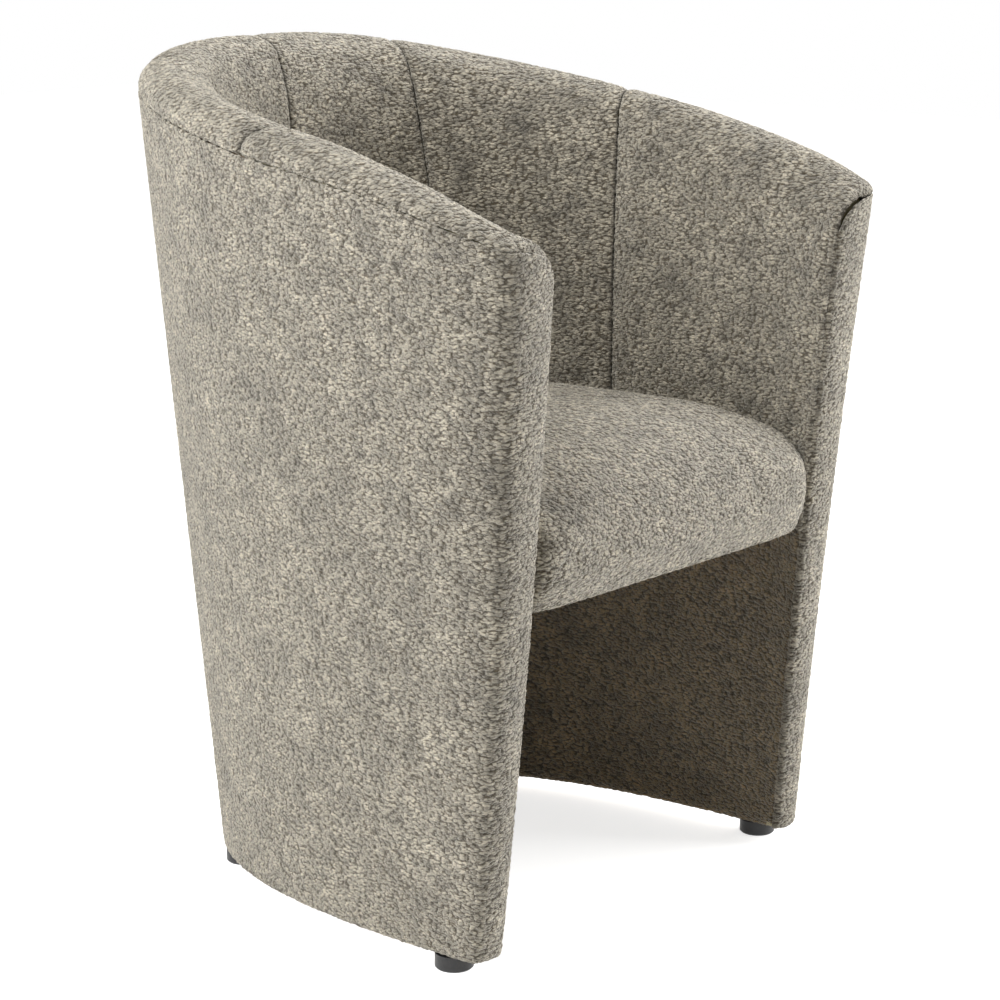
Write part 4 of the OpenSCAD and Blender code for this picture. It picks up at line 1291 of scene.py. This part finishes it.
def chord(share):
    """How far the ring reaches on one axis, by the share of the way out on the other."""
    return (1 - abs(share) ** SQUARE_SHARE) ** (1 / SQUARE_SHARE)


def strap(name, node_name, low, high, z):
    """A flat band between two corners, thinner at its woven edges."""
    lengthways = high[1] - low[1] > high[0] - low[0]
    counts = (STRAP_ACROSS, STRAP_ALONG) if lengthways else (STRAP_ALONG, STRAP_ACROSS)
    x, y = (np.linspace(low[k], high[k], counts[k] + 1) for k in (0, 1))
    y, x = np.meshgrid(y, x, indexing="ij")
    across = between(x, low[0], high[0]) if lengthways else between(y, low[1], high[1])
    thick = STRAP_T / 2 * (1 - abs(2 * across - 1) ** STRAP_EDGE_POWER)
    top, under = (np.stack([x, y, z + STRAP_T / 2 + way * thick], -1) for way in (1, -1))
    finish_soft(closed_pad(name, top, under, 1), webbing_cloth, "webbing", node_name)


for k in range(STRAP_COUNT):
    pitch = 2 * (RING_HALF_W - RING_W) / STRAP_COUNT
    x = pitch * (k - (STRAP_COUNT - 1) / 2)
    back = WIDEST_Y + (ring_back_y - WIDEST_Y) * chord((abs(x) + STRAP_W / 2) / RING_HALF_W)
    strap(f"strap_long_{k + 1}", "webbing_long", (x - STRAP_W / 2, ring_front_y + RING_W - STRAP_GRIP),
          (x + STRAP_W / 2, back - RING_W + STRAP_GRIP), LONG_STRAP_Z)
    inside = ring_front_y + RING_W
    y = inside + (ring_back_y - RING_W - inside) * (k + 0.5) / STRAP_COUNT
    reach = max(y + STRAP_W / 2 - WIDEST_Y, 0) / (ring_back_y - WIDEST_Y)
    half = RING_HALF_W * chord(reach) - RING_W + STRAP_GRIP
    strap(f"strap_cross_{k + 1}", "webbing_cross", (-half, y - STRAP_W / 2), (half, y + STRAP_W / 2),
          CROSS_STRAP_Z)

# %% Dust cover
DUST_N = 40
DUST_IN = 33
DUST_Z, DUST_SAG = 319.6, 2.0


def dust_point(share, angle):
    middle = np.array([0, SEAT_MIDDLE_Y, RING_Z])
    edge = mix(middle, seat_point(angle, RING_Z, RING_IN), 1 - DUST_IN / RING_HALF_W)
    point = mix(middle, edge, share[..., None])
    point[..., 2] = DUST_Z - DUST_SAG * (1 - share**2)
    return point


whole_turn = np.append(angles, angles[0] + 360)
dust_angles = np.interp(np.arange(4 * DUST_N) * SEAT_N / DUST_N, np.arange(4 * SEAT_N + 1), whole_turn)
dust_sheet, u, v = square_sheet(DUST_N, dust_point, dust_angles)
dust_points = dust_sheet.reshape(-1, 3)
dust_spots = (np.stack([u, v], -1).reshape(-1, 2) + 1) / 2
dust_cover = new_object(
    "dust_cover_felt", dust_points, grid_cells(numbered(DUST_N + 1, DUST_N + 1)).tolist(), dust_spots)
x, y = dust_points[border(DUST_N), :2].T * MM
finish_soft(dust_cover, felt, "dust_cloth", "dust_cover")

# %% [markdown]
# The frame's own pieces come with plain colours. The wood could have a picture of grain laid on it,
# but then a cut end would show it too. So a shared group makes the long fibres of wood from noise,
# and it serves the sawn timber and both faces of the plywood. The edge of plywood shows its plies,
# so the direction of each face decides which of the two it gets.

# %% Wood grain and timber
wood_grain, given, result = new_group(
    "wood_grain", {"Place": "Vector", "Stretch": "Vector", "Pale Colour": "Color", "Dark Colour": "Color"},
    {"Colour": "Color", "Height": "Float"})
stretched = vector_node(wood_grain, "MULTIPLY", given["Place"], given["Stretch"])
bands = noise(wood_grain, stretched, 1.0, 3.0, 0.55)["Fac"]
fibre = noise(wood_grain, stretched, 14.0, 3.0, 0.6)["Fac"]
grain = plus(wood_grain, times(wood_grain, bands, 0.75), times(wood_grain, fibre, 0.35))
pale_share = ramp(wood_grain, grain, 0.35, 0.75)
feed(wood_grain, result, {
    "Colour": colour_mix(wood_grain, pale_share, given["Dark Colour"], given["Pale Colour"]),
    "Height": fibre})

timber, tree, shader = new_material("sawn_timber")
wood = grouped(tree, wood_grain, {
    "Place": object_place(tree), "Stretch": (160, 160, 9), "Pale Colour": (0.62, 0.44, 0.25, 1),
    "Dark Colour": (0.36, 0.22, 0.10, 1)})
feed(tree, shader, {
    "Base Color": wood["Colour"], "Normal": bump(tree, wood["Height"], 0.0006), "Roughness": 0.75})

# %% Plywood
PLY_LAYER = 0.0015
FLAT_FACE_SHARE = 0.7
plywood, tree, shader = new_material("birch_plywood")
place = object_place(tree)
wood = grouped(tree, wood_grain, {
    "Place": place, "Stretch": (14, 150, 150), "Pale Colour": (0.70, 0.55, 0.35, 1),
    "Dark Colour": (0.50, 0.35, 0.19, 1)})
layers = math_node(tree, "SINE", times(tree, axis_values(tree, place)[2], math.pi / PLY_LAYER))
speck = noise(tree, place, 300, 2.0)["Fac"]
layers = plus(tree, layers, times(tree, speck, 0.8))
plies = colour_mix(tree, ramp(tree, layers, -0.3, 0.9), (0.33, 0.20, 0.09, 1), (0.66, 0.50, 0.30, 1))
facing = axis_values(tree, node(tree, "ShaderNodeNewGeometry").outputs["Normal"])
flat_face = math_node(tree, "GREATER_THAN", math_node(tree, "ABSOLUTE", facing[2]), FLAT_FACE_SHARE)
feed(tree, shader, {
    "Base Color": colour_mix(tree, flat_face, plies, wood["Colour"]),
    "Normal": bump(tree, wood["Height"], 0.0004), "Roughness": 0.6})
print("materials:", timber.name, plywood.name)

# %% [markdown]
# Hardboard is pressed wood fibre, the feet are moulded plastic and the screws are plated steel. Each
# could be one flat colour, but the real ones are never quite even: the board is mottled, the plastic
# is scuffed and has fine pebbles, and the zinc is clouded. A few noise and cell nodes give them that,
# without a map to unwrap. Each material then goes onto its own nodes of the frame.

# %% Hardboard, plastic and steel
hardboard, tree, shader = new_material("pressed_hardboard")
place = object_place(tree)
chips = cells(tree, place, 420)["Distance"]
mottle = noise(tree, place, 30, 4.0, 0.6)["Fac"]
pressed = plus(tree, times(tree, chips, 0.6), mottle)
dark_chips, pale_chips = (0.16, 0.09, 0.045, 1), (0.30, 0.18, 0.095, 1)
feed(tree, shader, {
    "Base Color": colour_mix(tree, ramp(tree, pressed, 0.4, 1.1), dark_chips, pale_chips),
    "Normal": bump(tree, pressed, 0.0004), "Roughness": 0.55})

moulded, tree, shader = new_material("moulded_plastic")
place = object_place(tree)
pebbles = cells(tree, place, 1500)["Distance"]
scuffs = noise(tree, place, 90, 4.0, 0.7)["Fac"]
fresh, scuffed = (0.010, 0.010, 0.011, 1), (0.028, 0.027, 0.026, 1)
feed(tree, shader, {
    "Base Color": colour_mix(tree, ramp(tree, scuffs, 0.35, 0.75), fresh, scuffed),
    "Roughness": ramp(tree, scuffs, 0.3, 0.8, 0.36, 0.6), "Normal": bump(tree, pebbles, 0.00025, 0.6)})

steel, tree, shader = new_material("zinc_plated_steel")
clouding = noise(tree, object_place(tree), 240, 3.0, 0.6)["Fac"]
blue_zinc, warm_zinc = (0.52, 0.54, 0.58, 1), (0.78, 0.77, 0.72, 1)
feed(tree, shader, {
    "Base Color": colour_mix(tree, clouding, blue_zinc, warm_zinc),
    "Roughness": ramp(tree, clouding, 0.3, 0.7, 0.25, 0.48), "Metallic": 1})
print("materials:", hardboard.name, moulded.name, steel.name)

# %% Dressing the frame
finishes = {
    timber: [f"{part}_post_{side}" for part in ("front", "side", "back") for side in SIDES]
    + ["seat_cleat_left", "seat_cleat_right", "seat_cleat_back"],
    plywood: ["base_ring", "top_rim", "seat_front_rail", "seat_back_rail"]
    + [f"seat_side_rail_{side}" for side in SIDES],
    hardboard: ["outer_board", "inner_board", "tack_strip"],
    moulded: [f"foot_{part}_{side}" for part in ("front", "back") for side in SIDES],
    steel: ["seat_screws", "foot_screws"],
}
for material, names in finishes.items():
    for name in names:
        for held_slot in nodes[name].material_slots:
            held_slot.material = material
    print(material.name, "on", len(names), "nodes")
